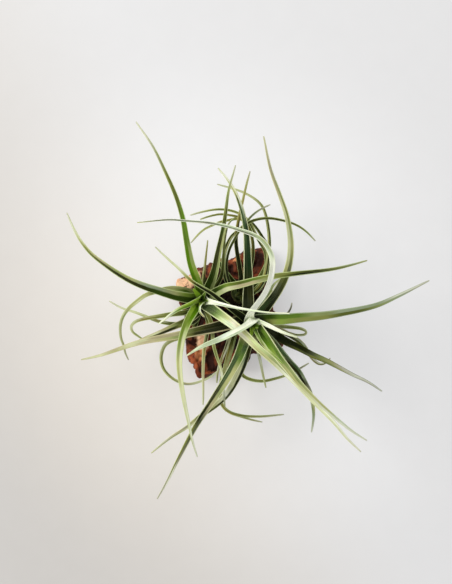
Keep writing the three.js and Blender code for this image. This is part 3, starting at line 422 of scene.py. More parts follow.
RIGHT_LEAVES = (
    Leaf("southwest_white", 8.2, 0.8, Tone.SILVER, 67, ((24.3, -7.6, 85), (22, -10.2, 95),
        (15.5, -14.4, 104), (6, -19.2, 110), (-4, -23.6, 113), (-13, -27.6, 112.5), (-22, -31.3, 109),
        (-31, -35.6, 103), (-42.3, -42.6, 93)),
        Look(((-0.8, NIGHT, NIGHT), (-0.3, MIST, MIST), (0.2, SNOW, SNOW), (1, SNOW, SNOW), (2, MIST, WHITE),
        (3, SAGE, WHITE), (4, MIST, SILVER), (5, SAGE, SAGE), (6, SAGE, SAGE), (7, SAGE, MIST),
        (8, CREAM, CREAM)), (0.8, 0.8), MIST, 0.25, -0.3)),
    Leaf("white_curl", 8.4, 1.35, Tone.SILVER, 66, ((19, -3, 86), (21, 1.6, 93), (25.8, 8, 100),
        (32, 16, 108), (37.3, 24.5, 115.5), (41, 33.5, 122), (42.8, 42, 126.8), (43.5, 51, 130.5),
        (42, 59, 133), (38, 67, 134.5), (31, 74.5, 135.5), (21, 79.7, 136), (11, 83, 136), (1, 86.2, 135.5),
        (-9, 88.4, 134.5), (-19, 90, 133), (-29, 91.1, 131.5), (-44, 92.3, 129), (-59, 93, 126.5),
        (-74, 92.2, 124), (-92, 90.5, 120)),
        Look(((-0.5, MIST, SNOW), (0.3, SNOW, SNOW), (5, SNOW, SNOW), (6, WHITE, SNOW), (7, WHITE, WHITE),
        (8, MIST, SAGE), (9, SAGE, FERN), (10, SAGE, FERN), (11, SLATE, SAGE), (12.5, SLATE, SAGE),
        (14, PINE, SAGE), (15, SLATE, SLATE), (16, GREY, PINE), (17, PINE, SLATE), (18, UMBER, SLATE),
        (19, MOSS, UMBER), (20, STRAW, OLIVE)), (0.6, 0.6), WHITE, 0.9)),
    Leaf("heart_pale", 3, 0.5, Tone.HEART, 67, ((28, -21, 106), (34, -31, 114), (43, -41, 118),
        (54, -51, 120)),
        Look(((0, BOTTLE, LEAF), (0.6, LEAF, FERN), (1, FERN, MOSS), (1.5, LIME, STRAW), (2, SPRING, FERN),
        (3, VIVID, SPRING)), (0.4, 0.3))),
    Leaf("southeast", 8.6, 0.9, Tone.HEART, 65, ((33, -19, 98), (41, -31, 105.5), (50, -45, 110),
        (60, -57.5, 111.5), (71, -71, 111), (83, -83.5, 109), (96, -95.5, 105), (109, -107, 100),
        (123, -118, 94), (138, -127.5, 87)),
        Look(((-0.5, NIGHT, BOTTLE), (0.3, LEAF, BOTTLE), (1, LEAF, VIVID), (1.6, LEAF, SPRING),
        (2, LEAF, FERN), (3, FERN, STRAW), (3.8, FERN, STRAW), (5, STRAW, CREAM), (6, STRAW, WHITE),
        (7, MIST, WHITE), (9, WHITE, WHITE)), (0.9, 0.8), CREAM, 0.5)),
    Leaf("east_short", 5.2, 0.8, Tone.SILVER, 65, ((33, -9.5, 92), (43, -14, 96.5), (55, -19.5, 97.5),
        (69, -24.5, 95)),
        Look(((0, MIST, WHITE), (1, WHITE, WHITE), (3, MIST, CREAM)), (0.4, 0.3), WHITE, 0.2)),
    Leaf("east", 9.6, 0.78, Tone.GREEN, 63, ((39, -5.5, 92), (51, -6, 97), (71, -4.6, 101), (91, -3, 103),
        (111, 0, 103), (131, 3.8, 102), (151, 9, 99), (171, 18, 95), (189, 27, 91), (200.5, 32.5, 88)),
        Look(((-0.5, NIGHT, NIGHT), (0, BOTTLE, MOSS), (0.5, BOTTLE, OLIVE), (1, LEAF, SPRING),
        (2, LEAF, OLIVE), (2.8, FERN, OLIVE), (3.4, FERN, OLIVE), (4, SAGE, MOSS), (5, SAGE, MOSS),
        (6, SAGE, FERN), (7, WHITE, SAGE), (8, WHITE, ASH), (9, ASH, ASH)), (0.9, 0.4), SAGE, 0.25)),
    Leaf("northwest", 4.8, 0.8, Tone.GREEN, 61, ((2, 5, 90), (-9, 13.2, 93.5), (-19, 21, 96.5),
        (-29, 27, 100), (-39, 33.4, 100.5), (-49, 43, 100), (-59, 52, 98.5), (-74, 66.3, 95)),
        Look(((1.4, NIGHT, NIGHT), (2, NIGHT, MOSS), (2.5, NIGHT, FERN), (3, NIGHT, FERN),
        (3.4, UMBER, FERN), (4.2, BRONZE, OLIVE), (4.6, STRAW, CREAM), (5, CREAM, WHITE), (6, CREAM, CREAM),
        (7, ASH, ASH)), (0.4, 0.5), LIME, 0.2, 0.4)),
    Leaf("north", 7.8, 0.8, Tone.GREEN, 60, ((39, 8, 88), (51, 26, 94), (59, 45, 99), (62, 68, 106),
        (59, 93, 112), (51, 118, 116), (41, 145, 118), (34.5, 177, 116)),
        Look(((-0.3, PINE, NIGHT), (0.4, NIGHT, NIGHT), (1, SLATE, UMBER), (1.5, OLIVE, MOSS),
        (2, STRAW, SLATE), (2.5, CREAM, OLIVE), (3, CREAM, STRAW), (3.6, CREAM, FERN), (4.4, CREAM, OLIVE),
        (5.2, TAN, FERN), (6, TAN, GREY), (7, TAN, CREAM)), (0.6, 0.6), CREAM, 0.4)),
    Leaf("southwest_long", 9.4, 0.95, Tone.GREEN, 60, ((15.7, -27, 92), (9, -46, 98.5), (-3, -67, 99.5),
        (-16, -87, 96), (-29, -106, 90), (-41, -127, 83), (-51, -147, 75.5), (-61, -167, 67),
        (-72, -186, 58)),
        Look(((0, STRAW, STRAW), (0.3, PINE, LEAF), (0.5, PINE, LEAF), (1, LEAF, PINE), (1.5, STRAW, PINE),
        (2, STRAW, PINE), (2.6, FERN, UMBER), (3.2, TAN, UMBER), (4, SLATE, NIGHT), (4.5, SLATE, OLIVE),
        (5, SLATE, OLIVE), (6, GREY, OLIVE), (6.5, WHITE, OLIVE), (7.2, WHITE, GREY), (8, ASH, ASH)),
        (0.5, 0.6), CREAM, 0.7)),
    Leaf("west", 9.4, 0.85, Tone.GREEN, 59, ((1, -10, 84), (-9, -13, 87), (-24, -16.7, 89), (-39, -19.8, 89),
        (-54, -22.8, 87.5), (-69, -25.3, 85), (-84, -28, 81), (-99, -32.2, 76), (-114, -37.5, 70),
        (-129, -42.5, 63), (-148, -46.5, 54)),
        Look(((1, NIGHT, NIGHT), (2, NIGHT, UMBER), (2.6, UMBER, MOSS), (3.3, OLIVE, FERN), (4, FERN, TAN),
        (4.8, STRAW, TAN), (5.5, TAN, TAN), (6, TAN, CREAM), (7, CREAM, CREAM), (8, STRAW, TAN),
        (9, CREAM, CREAM)), (1.4, 0.7), TAN, 0.6)),
    Leaf("north_dark", 9.4, 0.85, Tone.GREEN, 56, ((19, 12, 82), (19, 33, 91), (18.5, 58, 97.5),
        (17, 83, 100.5), (13, 103, 100), (6, 121, 98), (-2, 134, 95), (-11, 145, 91)),
        Look(((-0.4, SLATE, SLATE), (0.3, NIGHT, UMBER), (0.9, UMBER, UMBER), (1.6, TEAL, TEAL),
        (2, TEAL, TEAL), (2.6, PINE, TEAL), (3.2, PINE, TEAL), (4, PINE, SAGE), (4.6, MOSS, WHITE),
        (5, STRAW, CREAM), (5.6, STRAW, WHITE), (6.4, WHITE, WHITE), (7, CREAM, CREAM)),
        (0.9, 0.6), CREAM, 0.3)),
    Leaf("south_bent", 7.4, 0.75, Tone.GREEN, 58, ((41.5, -28, 85), (50.3, -37.5, 89), (59.5, -48, 91),
        (69, -58, 90.5), (76, -70, 88.5), (81.5, -81, 86), (84, -93, 83), (84.6, -103, 80),
        (82.5, -119.5, 74)),
        Look(((0, OLIVE, BOTTLE), (0.5, SLATE, VIVID), (1, PINE, SPRING), (1.5, PINE, FERN),
        (2, SLATE, UMBER), (2.5, PINE, UMBER), (3, PINE, UMBER), (3.6, SAGE, NIGHT), (4, SLATE, UMBER),
        (4.5, GREY, STRAW), (5, STRAW, STRAW), (5.6, LIME, CREAM), (6.2, STRAW, FERN), (7, SAGE, SAGE),
        (8, WHITE, ASH)), (1.0, 0.5), SAGE, 0.3)),
    Leaf("southeast_low", 7.4, 0.85, Tone.GREEN, 55, ((43, -20, 80), (56, -27.8, 84), (71, -34.8, 85.5),
        (83, -41.5, 84), (96, -47.5, 81.5), (111, -55, 77.5), (126, -62.5, 72.5), (139, -69, 67),
        (153, -78.5, 59)),
        Look(((0, SLATE, SLATE), (0.5, NIGHT, NIGHT), (1.3, NIGHT, UMBER), (2, NIGHT, MOSS),
        (2.6, UMBER, SLATE), (3, SLATE, OLIVE), (3.6, FERN, OLIVE), (4.4, STRAW, FERN), (5, ASH, STRAW),
        (6, WHITE, WHITE), (7, WHITE, ASH), (8, WHITE, WHITE)), (0.4, 0.5), MOSS, 0.3, 0.3)),
    Leaf("southwest_back", 8.2, 0.9, Tone.OLIVE, 54, ((16.5, -39, 84), (12, -55, 87), (5.6, -69, 87),
        (-3, -82, 85), (-16, -94, 82), (-29, -103.5, 79), (-42, -114, 75), (-59, -125, 70), (-78, -140, 62)),
        Look(((0, UMBER, LEAF), (0.6, NIGHT, SAGE), (1, NIGHT, CREAM), (1.6, NIGHT, CREAM),
        (2.4, UMBER, CREAM), (3, SLATE, WHITE), (3.5, UMBER, CREAM), (4, MOSS, STRAW), (4.6, UMBER, NIGHT),
        (5, UMBER, SLATE), (5.5, CREAM, STRAW), (6, CREAM, GREY), (6.5, FERN, TAN), (7.2, FERN, ASH),
        (8, STRAW, CREAM)), (0.2, 0.6), CREAM, 0.4, -0.3)),
    Leaf("northeast", 5, 0.75, Tone.GREEN, 54, ((34, 9, 77), (40, 20, 81), (45, 29, 82), (52, 35, 82)),
        Look(((0, MIST, BOTTLE), (0.6, MIST, MOSS), (1.2, MIST, FERN), (1.8, SAGE, STRAW),
        (2.4, LIME, CREAM)), (0.5, 0.5), LIME, 0.3)),
    Leaf("southeast_hook", 4.4, 0.5, Tone.OLIVE, 50, ((51, -17, 72), (64, -24, 74), (74, -32, 74),
        (80, -41, 73), (86, -48.5, 71.5), (92, -51.5, 71), (97, -49.5, 72), (101.5, -45, 74)),
        Look(((0, TAN, UMBER), (1, CREAM, SLATE), (1.6, SAGE, MOSS), (2, MIST, MOSS), (2.6, SAGE, UMBER),
        (3, MOSS, OLIVE), (3.5, WHITE, TAN), (4.5, WHITE, OLIVE), (5, WHITE, OLIVE), (5.5, WHITE, MOSS),
        (6.5, WHITE, FERN), (7, ASH, ASH)), (0.5, 0.3), TAN, 0.4)),
    Leaf("east_loop", 2.8, 0.4, Tone.OLIVE, 45, ((54, -13.8, 63), (65, -14.8, 65), (73, -16, 65),
        (78, -18.8, 64), (76.5, -21.6, 63), (71, -22.4, 62), (65, -21.6, 61), (60, -19, 60)),
        Look(((0, STRAW, FERN), (0.6, FERN, OLIVE), (1.4, FERN, OLIVE), (2.4, CREAM, OLIVE),
        (3, CREAM, STRAW), (4, CREAM, STRAW), (4.6, CREAM, OLIVE), (5.6, CREAM, MOSS), (7, CREAM, OLIVE)),
        (0.3, 0.5))),
    Leaf("south_light", 2.8, 0.5, Tone.OLIVE, 53, ((26, -22, 76), (28.5, -35, 81), (31, -47, 82),
        (34, -62, 81), (37, -75, 78)),
        Look(((0, OLIVE, OLIVE), (0.6, STRAW, CREAM), (1, STRAW, STRAW), (1.5, OLIVE, WHITE),
        (2, WHITE, WHITE), (3, STRAW, CREAM)), (0.4, 0.4))),
    Leaf("south_thin", 3, 0.5, Tone.OLIVE, 44, ((3, -17, 57), (-2, -32, 61), (-8, -48, 64), (-11.5, -60, 65),
        (-12.3, -70, 64)),
        Look(((0, WHITE, MIST), (0.5, STRAW, CREAM), (1, CREAM, UMBER), (1.6, WHITE, BRONZE),
        (2, BRONZE, BRONZE), (2.5, CREAM, WHITE), (3, BRONZE, CREAM), (3.5, MOSS, CREAM), (4, OLIVE, STRAW)),
        (0.3, 0.4), CREAM)),
    Leaf("south_hook", 3.2, 0.45, Tone.OLIVE, 44, ((5, -19, 51), (1, -37, 55), (-4, -55, 57), (-8, -75, 57),
        (-7.5, -90, 56), (-1, -98, 55), (13, -102.5, 53), (31, -103.4, 51), (55, -101.5, 48)),
        Look(((0, UMBER, UMBER), (0.7, MOSS, MOSS), (1.2, STRAW, BRONZE), (2, STRAW, STRAW),
        (2.6, MOSS, FERN), (3, OLIVE, BRONZE), (3.5, TAN, BRONZE), (4, BRONZE, MOSS), (4.5, STRAW, BRONZE),
        (5.2, FERN, BRONZE), (6, OLIVE, OLIVE), (6.6, OLIVE, STRAW), (7.2, FERN, TAN), (8, ASH, ASH)),
        (0.4, 0.3))),
    Leaf("south_arc", 2.8, 0.45, Tone.OLIVE, 42, ((11, -37, 50), (11, -52, 52), (13, -62, 53),
        (21, -66.3, 54), (33, -68, 54), (46, -65.6, 53), (58, -62, 51), (68, -57, 48), (80, -50, 44)),
        Look(((0, PINE, LEAF), (0.6, BOTTLE, BOTTLE), (1.2, MOSS, FERN), (1.6, UMBER, FERN),
        (2, OLIVE, UMBER), (3, OLIVE, OLIVE), (3.6, OLIVE, FERN), (4.4, OLIVE, OLIVE), (5.5, FERN, STRAW),
        (6.2, STRAW, CREAM), (7, SLATE, GREY), (8, ASH, ASH)), (0.4, 0.4))),
    Leaf("south_hook_thin", 2.4, 0.4, Tone.OLIVE, 40, ((7, -20, 42), (0, -45, 46), (-8, -68, 47),
        (-9.5, -82, 46), (-7, -93, 45), (1, -100, 44), (13, -104, 43), (23, -106.8, 42), (33.5, -109, 41)),
        Look(((0, MOSS, OLIVE), (1.2, FERN, STRAW), (2.2, OLIVE, OLIVE), (2.6, MOSS, MOSS),
        (3, STRAW, STRAW), (3.5, MOSS, FERN), (4, FERN, STRAW), (5.6, OLIVE, STRAW), (6.4, FERN, STRAW),
        (7, STRAW, TAN), (8, ASH, ASH)), (0.3, 0.3))),
)

BACK_LEAVES = (
    Leaf("northeast", 2.6, 0.45, Tone.OLIVE, 48, ((0, 30, 70), (-3, 48, 82), (0, 63, 87), (5, 73, 89),
        (11, 83, 91), (18, 92, 92), (25, 99, 92), (33, 104.5, 91), (41.5, 108.5, 89)),
        Look(((0, UMBER, UMBER), (2, NIGHT, UMBER), (4, MOSS, OLIVE), (5, OLIVE, MOSS), (6, SLATE, SAGE),
        (7, GREY, GREY), (8, ASH, ASH)), (0.3, 0.3))),
    Leaf("north", 3.4, 0.5, Tone.OLIVE, 46, ((12, 38, 67), (8.5, 58, 75), (7, 73, 79), (9, 91, 82),
        (14, 113, 82), (18, 131, 81), (21, 142, 79)),
        Look(((2, NIGHT, NIGHT), (2.8, BRONZE, UMBER), (4, STRAW, BRONZE), (5, STRAW, STRAW), (6, ASH, ASH)),
        (0.3, 0.3), STRAW)),
    Leaf("arc_right", 3.2, 0.5, Tone.OLIVE, 44, ((-3, 32, 62), (-6, 53, 70), (-2, 68, 72.5), (3, 77, 73.5),
        (9, 82, 74), (16, 88, 74.5), (23, 92, 75), (33, 94.7, 76), (43, 94.7, 77), (56, 92, 77),
        (64, 89.5, 76), (72, 85.5, 75), (79, 80, 73.5), (86.5, 72, 71)),
        Look(((0, NIGHT, MOSS), (1, UMBER, STRAW), (3, UMBER, STRAW), (3.8, UMBER, UMBER), (6, UMBER, MOSS),
        (7, OLIVE, UMBER), (9, MOSS, UMBER), (11, OLIVE, MOSS), (12, FERN, FERN), (13, ASH, ASH)),
        (0.3, 0.3))),
    Leaf("arc_outer", 3.2, 0.5, Tone.OLIVE, 43, ((27, 21, 58), (35, 33, 63), (38.5, 51, 66), (40.3, 73, 68),
        (37.5, 95, 69), (33, 107, 70), (26, 114, 70.5), (14, 121, 70.5), (1, 125.5, 70), (-12, 129, 68)),
        Look(((0, MOSS, NIGHT), (1, BRONZE, NIGHT), (2, STRAW, UMBER), (3, STRAW, UMBER), (4, STRAW, MOSS),
        (5, STRAW, OLIVE), (6, CREAM, STRAW), (8, CREAM, CREAM), (9, ASH, ASH)), (0.4, 0.3))),
    Leaf("arc_left", 2.6, 0.4, Tone.OLIVE, 40, ((20, 38, 57), (24, 60, 63), (23, 76, 65.5), (19, 88, 66),
        (11, 94, 66.5), (1, 93, 66.5), (-9, 91, 66), (-16, 88, 65.5), (-25, 83.5, 64), (-32, 77, 62.5),
        (-38, 70, 60)),
        Look(((0, UMBER, NIGHT), (3, BRONZE, MOSS), (5, OLIVE, BRONZE), (7, STRAW, OLIVE), (9, STRAW, STRAW),
        (10, ASH, ASH)), (0.3, 0.2))),
    Leaf("arc_middle", 2.8, 0.45, Tone.OLIVE, 42, ((27, 24, 49), (35, 35, 53), (37.5, 53, 56),
        (35.5, 63, 57), (31, 70, 57.5), (25, 82, 58.5), (20, 92, 59), (12, 98.5, 59.5), (3, 102, 59.5),
        (-10, 103.5, 59), (-24, 101.5, 57.5), (-39, 97.5, 55)),
        Look(((0, OLIVE, MOSS), (2, OLIVE, STRAW), (4, UMBER, STRAW), (6, UMBER, OLIVE), (7, STRAW, OLIVE),
        (8, OLIVE, OLIVE), (9, MOSS, OLIVE), (10, OLIVE, STRAW), (11, ASH, ASH)), (0.4, 0.4))),
    Leaf("arc_inner", 2.6, 0.4, Tone.OLIVE, 40, ((29, 22, 42), (37, 36, 46), (40, 51, 48), (38.5, 67, 50),
        (33, 77, 51), (26, 87, 51.5), (19, 93.5, 52), (11, 96, 52), (1, 98, 51.5), (-9.2, 99, 51),
        (-19, 97, 50), (-29, 93.5, 48)),
        Look(((0, UMBER, NIGHT), (3, MOSS, NIGHT), (6, OLIVE, NIGHT), (7, BRONZE, UMBER), (8, OLIVE, BRONZE),
        (10, OLIVE, OLIVE), (11, STRAW, STRAW)), (0.3, 0.2))),
    Leaf("northwest", 4.4, 0.7, Tone.GREEN, 40, ((0, 36, 53), (-6, 44, 57), (-11, 54, 57), (-12, 62, 54)),
        Look(((0, MOSS, BOTTLE), (3, NIGHT, NIGHT)), (0.5, 0.5))),
    Leaf("northeast_low", 4, 0.7, Tone.GREEN, 40, ((27, 30, 42), (35, 44, 42), (39, 58, 40)),
        Look(((0, MOSS, BOTTLE), (2, OLIVE, OLIVE)), (0.4, 0.4))),
    Leaf("east_low", 2.2, 0.5, Tone.OLIVE, 40, ((33, 0, 44), (49, -3.5, 50), (58, -1, 53), (62, 5, 54),
        (62.8, 10.5, 54)),
        Look(((0, SLATE, SLATE), (3, GREY, SLATE), (4, ASH, ASH)), (0.2, 0.2), GREY)),
)


# Heart looks: their brightest greens and whites are painted light on upright heart leaves that stand in
# shade, and the near-black look is painted shade on the low back heart.
BRIGHT_HEART = Look(((0, SPRING, VIVID), (1, FRESH, SPRING), (2, FRESH, FRESH)), (0.4, 0.4), FRESH, 0.2)
LIT_HEART = Look(((0, FRESH, FRESH), (2, FRESH, FRESH)), (0.3, 0.3), FRESH, 0.1)
PALE_HEART = Look(((0, MIST, MIST), (1, WHITE, SNOW), (2, SNOW, SNOW)), (0.5, 0.5), SNOW, 0.1)
DEEP_HEART = Look(((0, BOTTLE, LEAF), (1, LEAF, VIVID), (2, SPRING, LEAF)), (0.6, 0.6))
SHADED_HEART = Look(((0, NIGHT, NIGHT), (2, UMBER, MOSS)), (0.3, 0.3), UMBER, 0.2)

LEFT_HEART = (
    HeartLeaf(125, 24, 9, 6, LIT_HEART),
    HeartLeaf(200, 17, 6, 6, BRIGHT_HEART),
    HeartLeaf(262, 18, 5, 4.5, BRIGHT_HEART),
    HeartLeaf(350, 19, 4, 5, DEEP_HEART),
    HeartLeaf(60, 21, 5, 5, DEEP_HEART),
)

RIGHT_HEART = (
    HeartLeaf(310, 26, 11.5, 3.8, BRIGHT_HEART),
    HeartLeaf(258, 20, 7, 5.5, BRIGHT_HEART),
    HeartLeaf(350, 18, 6, 5.5, DEEP_HEART),
    HeartLeaf(110, 18, 4, 5, PALE_HEART),
    HeartLeaf(180, 16, 4, 5, PALE_HEART),
)

BACK_HEART = (
    HeartLeaf(213, 16, 5.5, 5, SHADED_HEART),
    HeartLeaf(350, 14.5, 6, 5, SHADED_HEART),
    HeartLeaf(128, 13, 6, 5, SHADED_HEART),
    HeartLeaf(265, 11, 6, 5, SHADED_HEART),
)

HEADS = (
    Head("left", (-19, 5, 11), (-21, 11, 56), 8, LEFT_HEART, LEFT_LEAVES),
    Head("right", (10, -5, 11), (18, -8, 62), 8.5, RIGHT_HEART, RIGHT_LEAVES),
    Head("back", (9, 15, 11), (10, 17, 42), 7, BACK_HEART, BACK_LEAVES),
)


def plan_point(place: Point) -> Vector:
    """A point of the plan grid, with its height.

    Args:
        place: plan steps right and up, and the height in mm.

    Returns:
        The point in mm.
    """
    right, up, height = place
    shrink = 1 - height / SIGHT_HEIGHT
    x = (right - SIGHT_AXIS[0]) * shrink + SIGHT_AXIS[0]
    y = (up - SIGHT_AXIS[1]) * shrink + SIGHT_AXIS[1]
    return Vector((x * PLAN_STEP, y * PLAN_STEP, height + ROUTE_LEVEL))


class SmoothPath:
    """A centripetal Catmull-Rom line through points, walked by its length."""

    STEPS = 24          # samples between two points
    HEADING_SPAN = 0.6  # mm on each side over which a heading is taken

    def __init__(self, points: list[Vector]) -> None:
        """Samples the line.

        Args:
            points: what the line goes through, in mm.
        """
        ends = [points[0] * 2 - points[1], *points, points[-1] * 2 - points[-2]]
        self.samples = [points[0].copy()]
        for k in range(len(points) - 1):
            for step in range(1, self.STEPS + 1):
                self.samples.append(self._between(ends[k:k + 4], step / self.STEPS))
        self.reach = [0.0]
        for a, b in zip(self.samples, self.samples[1:]):
            self.reach.append(self.reach[-1] + (b - a).length)

    @staticmethod
    def _between(points: list[Vector], share: float) -> Vector:
        """A point between the second and third of four points.

        Args:
            points: four points in a row.
            share: how far along, from 0 to 1.

        Returns:
            The point.
        """
        before, start, end, after = points
        gap0, gap1, gap2 = (math.sqrt((b - a).length) for a, b in zip(points, points[1:]))
        leaving = ((start - before) / gap0 - (end - before) / (gap0 + gap1) + (end - start) / gap1) * gap1
        arriving = ((end - start) / gap1 - (after - start) / (gap1 + gap2) + (after - end) / gap2) * gap1
        return bend(start, leaving, end, arriving, share)

    @property
    def length(self) -> float:
        """The whole length in mm."""
        return self.reach[-1]

    def point(self, reach: float) -> Vector:
        """The point at a distance from the start.

        Args:
            reach: the distance in mm.

        Returns:
            The point.
        """
        reach = min(self.length, max(0.0, reach))
        k = max(1, bisect_left(self.reach, reach))
        share = (reach - self.reach[k - 1]) / (self.reach[k] - self.reach[k - 1])
        return self.samples[k - 1].lerp(self.samples[k], share)

    def place(self, reach: float) -> float:
        """How many of the line's points lie before a distance from its start, with a fraction."""
        k = max(1, bisect_left(self.reach, min(self.length, max(0.0, reach))))
        share = (reach - self.reach[k - 1]) / (self.reach[k] - self.reach[k - 1])
        return (k - 1 + share) / self.STEPS

    def heading(self, reach: float) -> Vector:
        """The direction of the line at a distance from its start."""
        return (self.point(reach + self.HEADING_SPAN) - self.point(reach - self.HEADING_SPAN)).normalized()


# Meshes


def cut(bm: bmesh.types.BMesh, first_edge: int, axis: int, parts: int) -> None:
    """Cuts the edges of a new shape that run along an axis into equal parts.

    Args:
        bm: the mesh that it is in.
        first_edge: the number of the shape's first edge.
        axis: 0 for x, 1 for y and 2 for z.
        parts: how many parts each edge is cut into.
    """
    bm.edges.ensure_lookup_table()
    edges = [e for e in bm.edges[first_edge:] if abs(e.verts[0].co[axis] - e.verts[1].co[axis]) > NIL]
    bmesh.ops.subdivide_edges(bm, edges=edges, cuts=parts - 1, use_grid_fill=True)


def slab(bm: bmesh.types.BMesh, rings: int, strips: int) -> list[bmesh.types.BMVert]:
    """Adds a closed slab to a mesh, from x 0 to 1, y -1 to 1 and z -1 to 1.

    Args:
        bm: the mesh that it goes in.
        rings: how many lengths it is cut into along x.
        strips: how many strips it is cut into along y.

    Returns:
        The slab's vertices.
    """
    first_vert, first_edge = len(bm.verts), len(bm.edges)
    corners = bmesh.ops.create_cube(bm, size=2)["verts"]
    bmesh.ops.translate(bm, vec=(1, 0, 0), verts=corners)
    bmesh.ops.scale(bm, vec=(0.5, 1, 1), verts=corners)
    cut(bm, first_edge, 0, rings)
    cut(bm, first_edge, 1, strips)
    bm.verts.ensure_lookup_table()
    return bm.verts[first_vert:]


def tube(bm: bmesh.types.BMesh, rings: int, sides: int) -> list[bmesh.types.BMVert]:
    """Adds a closed tube to a mesh, of radius 1 round z and from z 0 to 1.

    Args:
        bm: the mesh that it goes in.
        rings: how many lengths it is cut into.
        sides: how many sides it has.

    Returns:
        The tube's vertices.
    """
    first_vert, first_edge = len(bm.verts), len(bm.edges)
    made = bmesh.ops.create_cone(
        bm, cap_ends=True, cap_tris=False, segments=sides, radius1=1, radius2=1, depth=1)
    bmesh.ops.translate(bm, vec=(0, 0, 0.5), verts=made["verts"])
    cut(bm, first_edge, 2, rings)
    bm.verts.ensure_lookup_table()
    return bm.verts[first_vert:]


@dataclass
class Piece:
    """A finished piece of the plant.

    Args:
        name: the piece's name.
        material: its finish.
        slot: the record's material slot; not used.
        replaces: the nodes of the solids that it stands for.
        subdivisions: how many times its faces are subdivided.
    """

    name: str
    material: bpy.types.Material
    slot: str
    replaces: tuple[str, ...]
    subdivisions: int = 1

    def make(self, bm: bmesh.types.BMesh) -> None:
        """Turns a mesh in millimetres into the piece, and hands it to the frame.

        Args:
            bm: the mesh, which is freed.
        """
        bmesh.ops.scale(bm, vec=(MM, MM, MM), verts=bm.verts)
        bmesh.ops.recalc_face_normals(bm, faces=bm.faces)
        for face in bm.faces:
            face.smooth = True
        mesh = bpy.data.meshes.new(self.name)
        bm.to_mesh(mesh)
        bm.free()
        mesh.materials.append(self.material)
        piece = bpy.data.objects.new(self.name, mesh)
        bpy.context.scene.collection.objects.link(piece)
        if self.subdivisions:
            modifier = piece.modifiers.new("finer", "SUBSURF")
            modifier.levels = modifier.render_levels = self.subdivisions
        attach(piece, "root")
        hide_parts(*self.replaces)
        log.info("%s: %d faces before subdivision", self.name, len(mesh.polygons))


# Materials


@dataclass(frozen=True)
class Wire:
    """An output of a material's node, which takes part in arithmetic."""

    shader: "Shader"
    socket: bpy.types.NodeSocket

    def _maths(self, operation: str, first: "Wire | float", second: "Wire | float") -> "Wire":
        """The result of a Math node.

        Args:
            operation: the node's operation.
            first: its first value.
            second: its second value.

        Returns:
            The node's output.
        """
        return self.shader.node("ShaderNodeMath", {"operation": operation}, {0: first, 1: second})

    def __add__(self, other: "Wire | float") -> "Wire":
        """The sum of both."""
        return self._maths("ADD", self, other)

    def __radd__(self, other: float) -> "Wire":
        """The sum of both, the number first."""
        return self._maths("ADD", other, self)

    def __sub__(self, other: "Wire | float") -> "Wire":
        """This less the other."""
        return self._maths("SUBTRACT", self, other)

    def __rsub__(self, other: float) -> "Wire":
        """The number less this."""
        return self._maths("SUBTRACT", other, self)

    def __mul__(self, other: "Wire | float") -> "Wire":
        """The product of both."""
        return self._maths("MULTIPLY", self, other)

    def __rmul__(self, other: float) -> "Wire":
        """The product of both, the number first."""
        return self._maths("MULTIPLY", other, self)

    def step(self, low: float, high: float) -> "Wire":
        """A smooth step of the value.

        Args:
            low: where it starts from 0.
            high: where it reaches 1.

        Returns:
            A value from 0 to 1.
        """
        return self.shader.node(
            "ShaderNodeMapRange", {"interpolation_type": "SMOOTHSTEP"},
            {"Value": self, "From Min": low, "From Max": high, "To Min": 0.0, "To Max": 1.0})


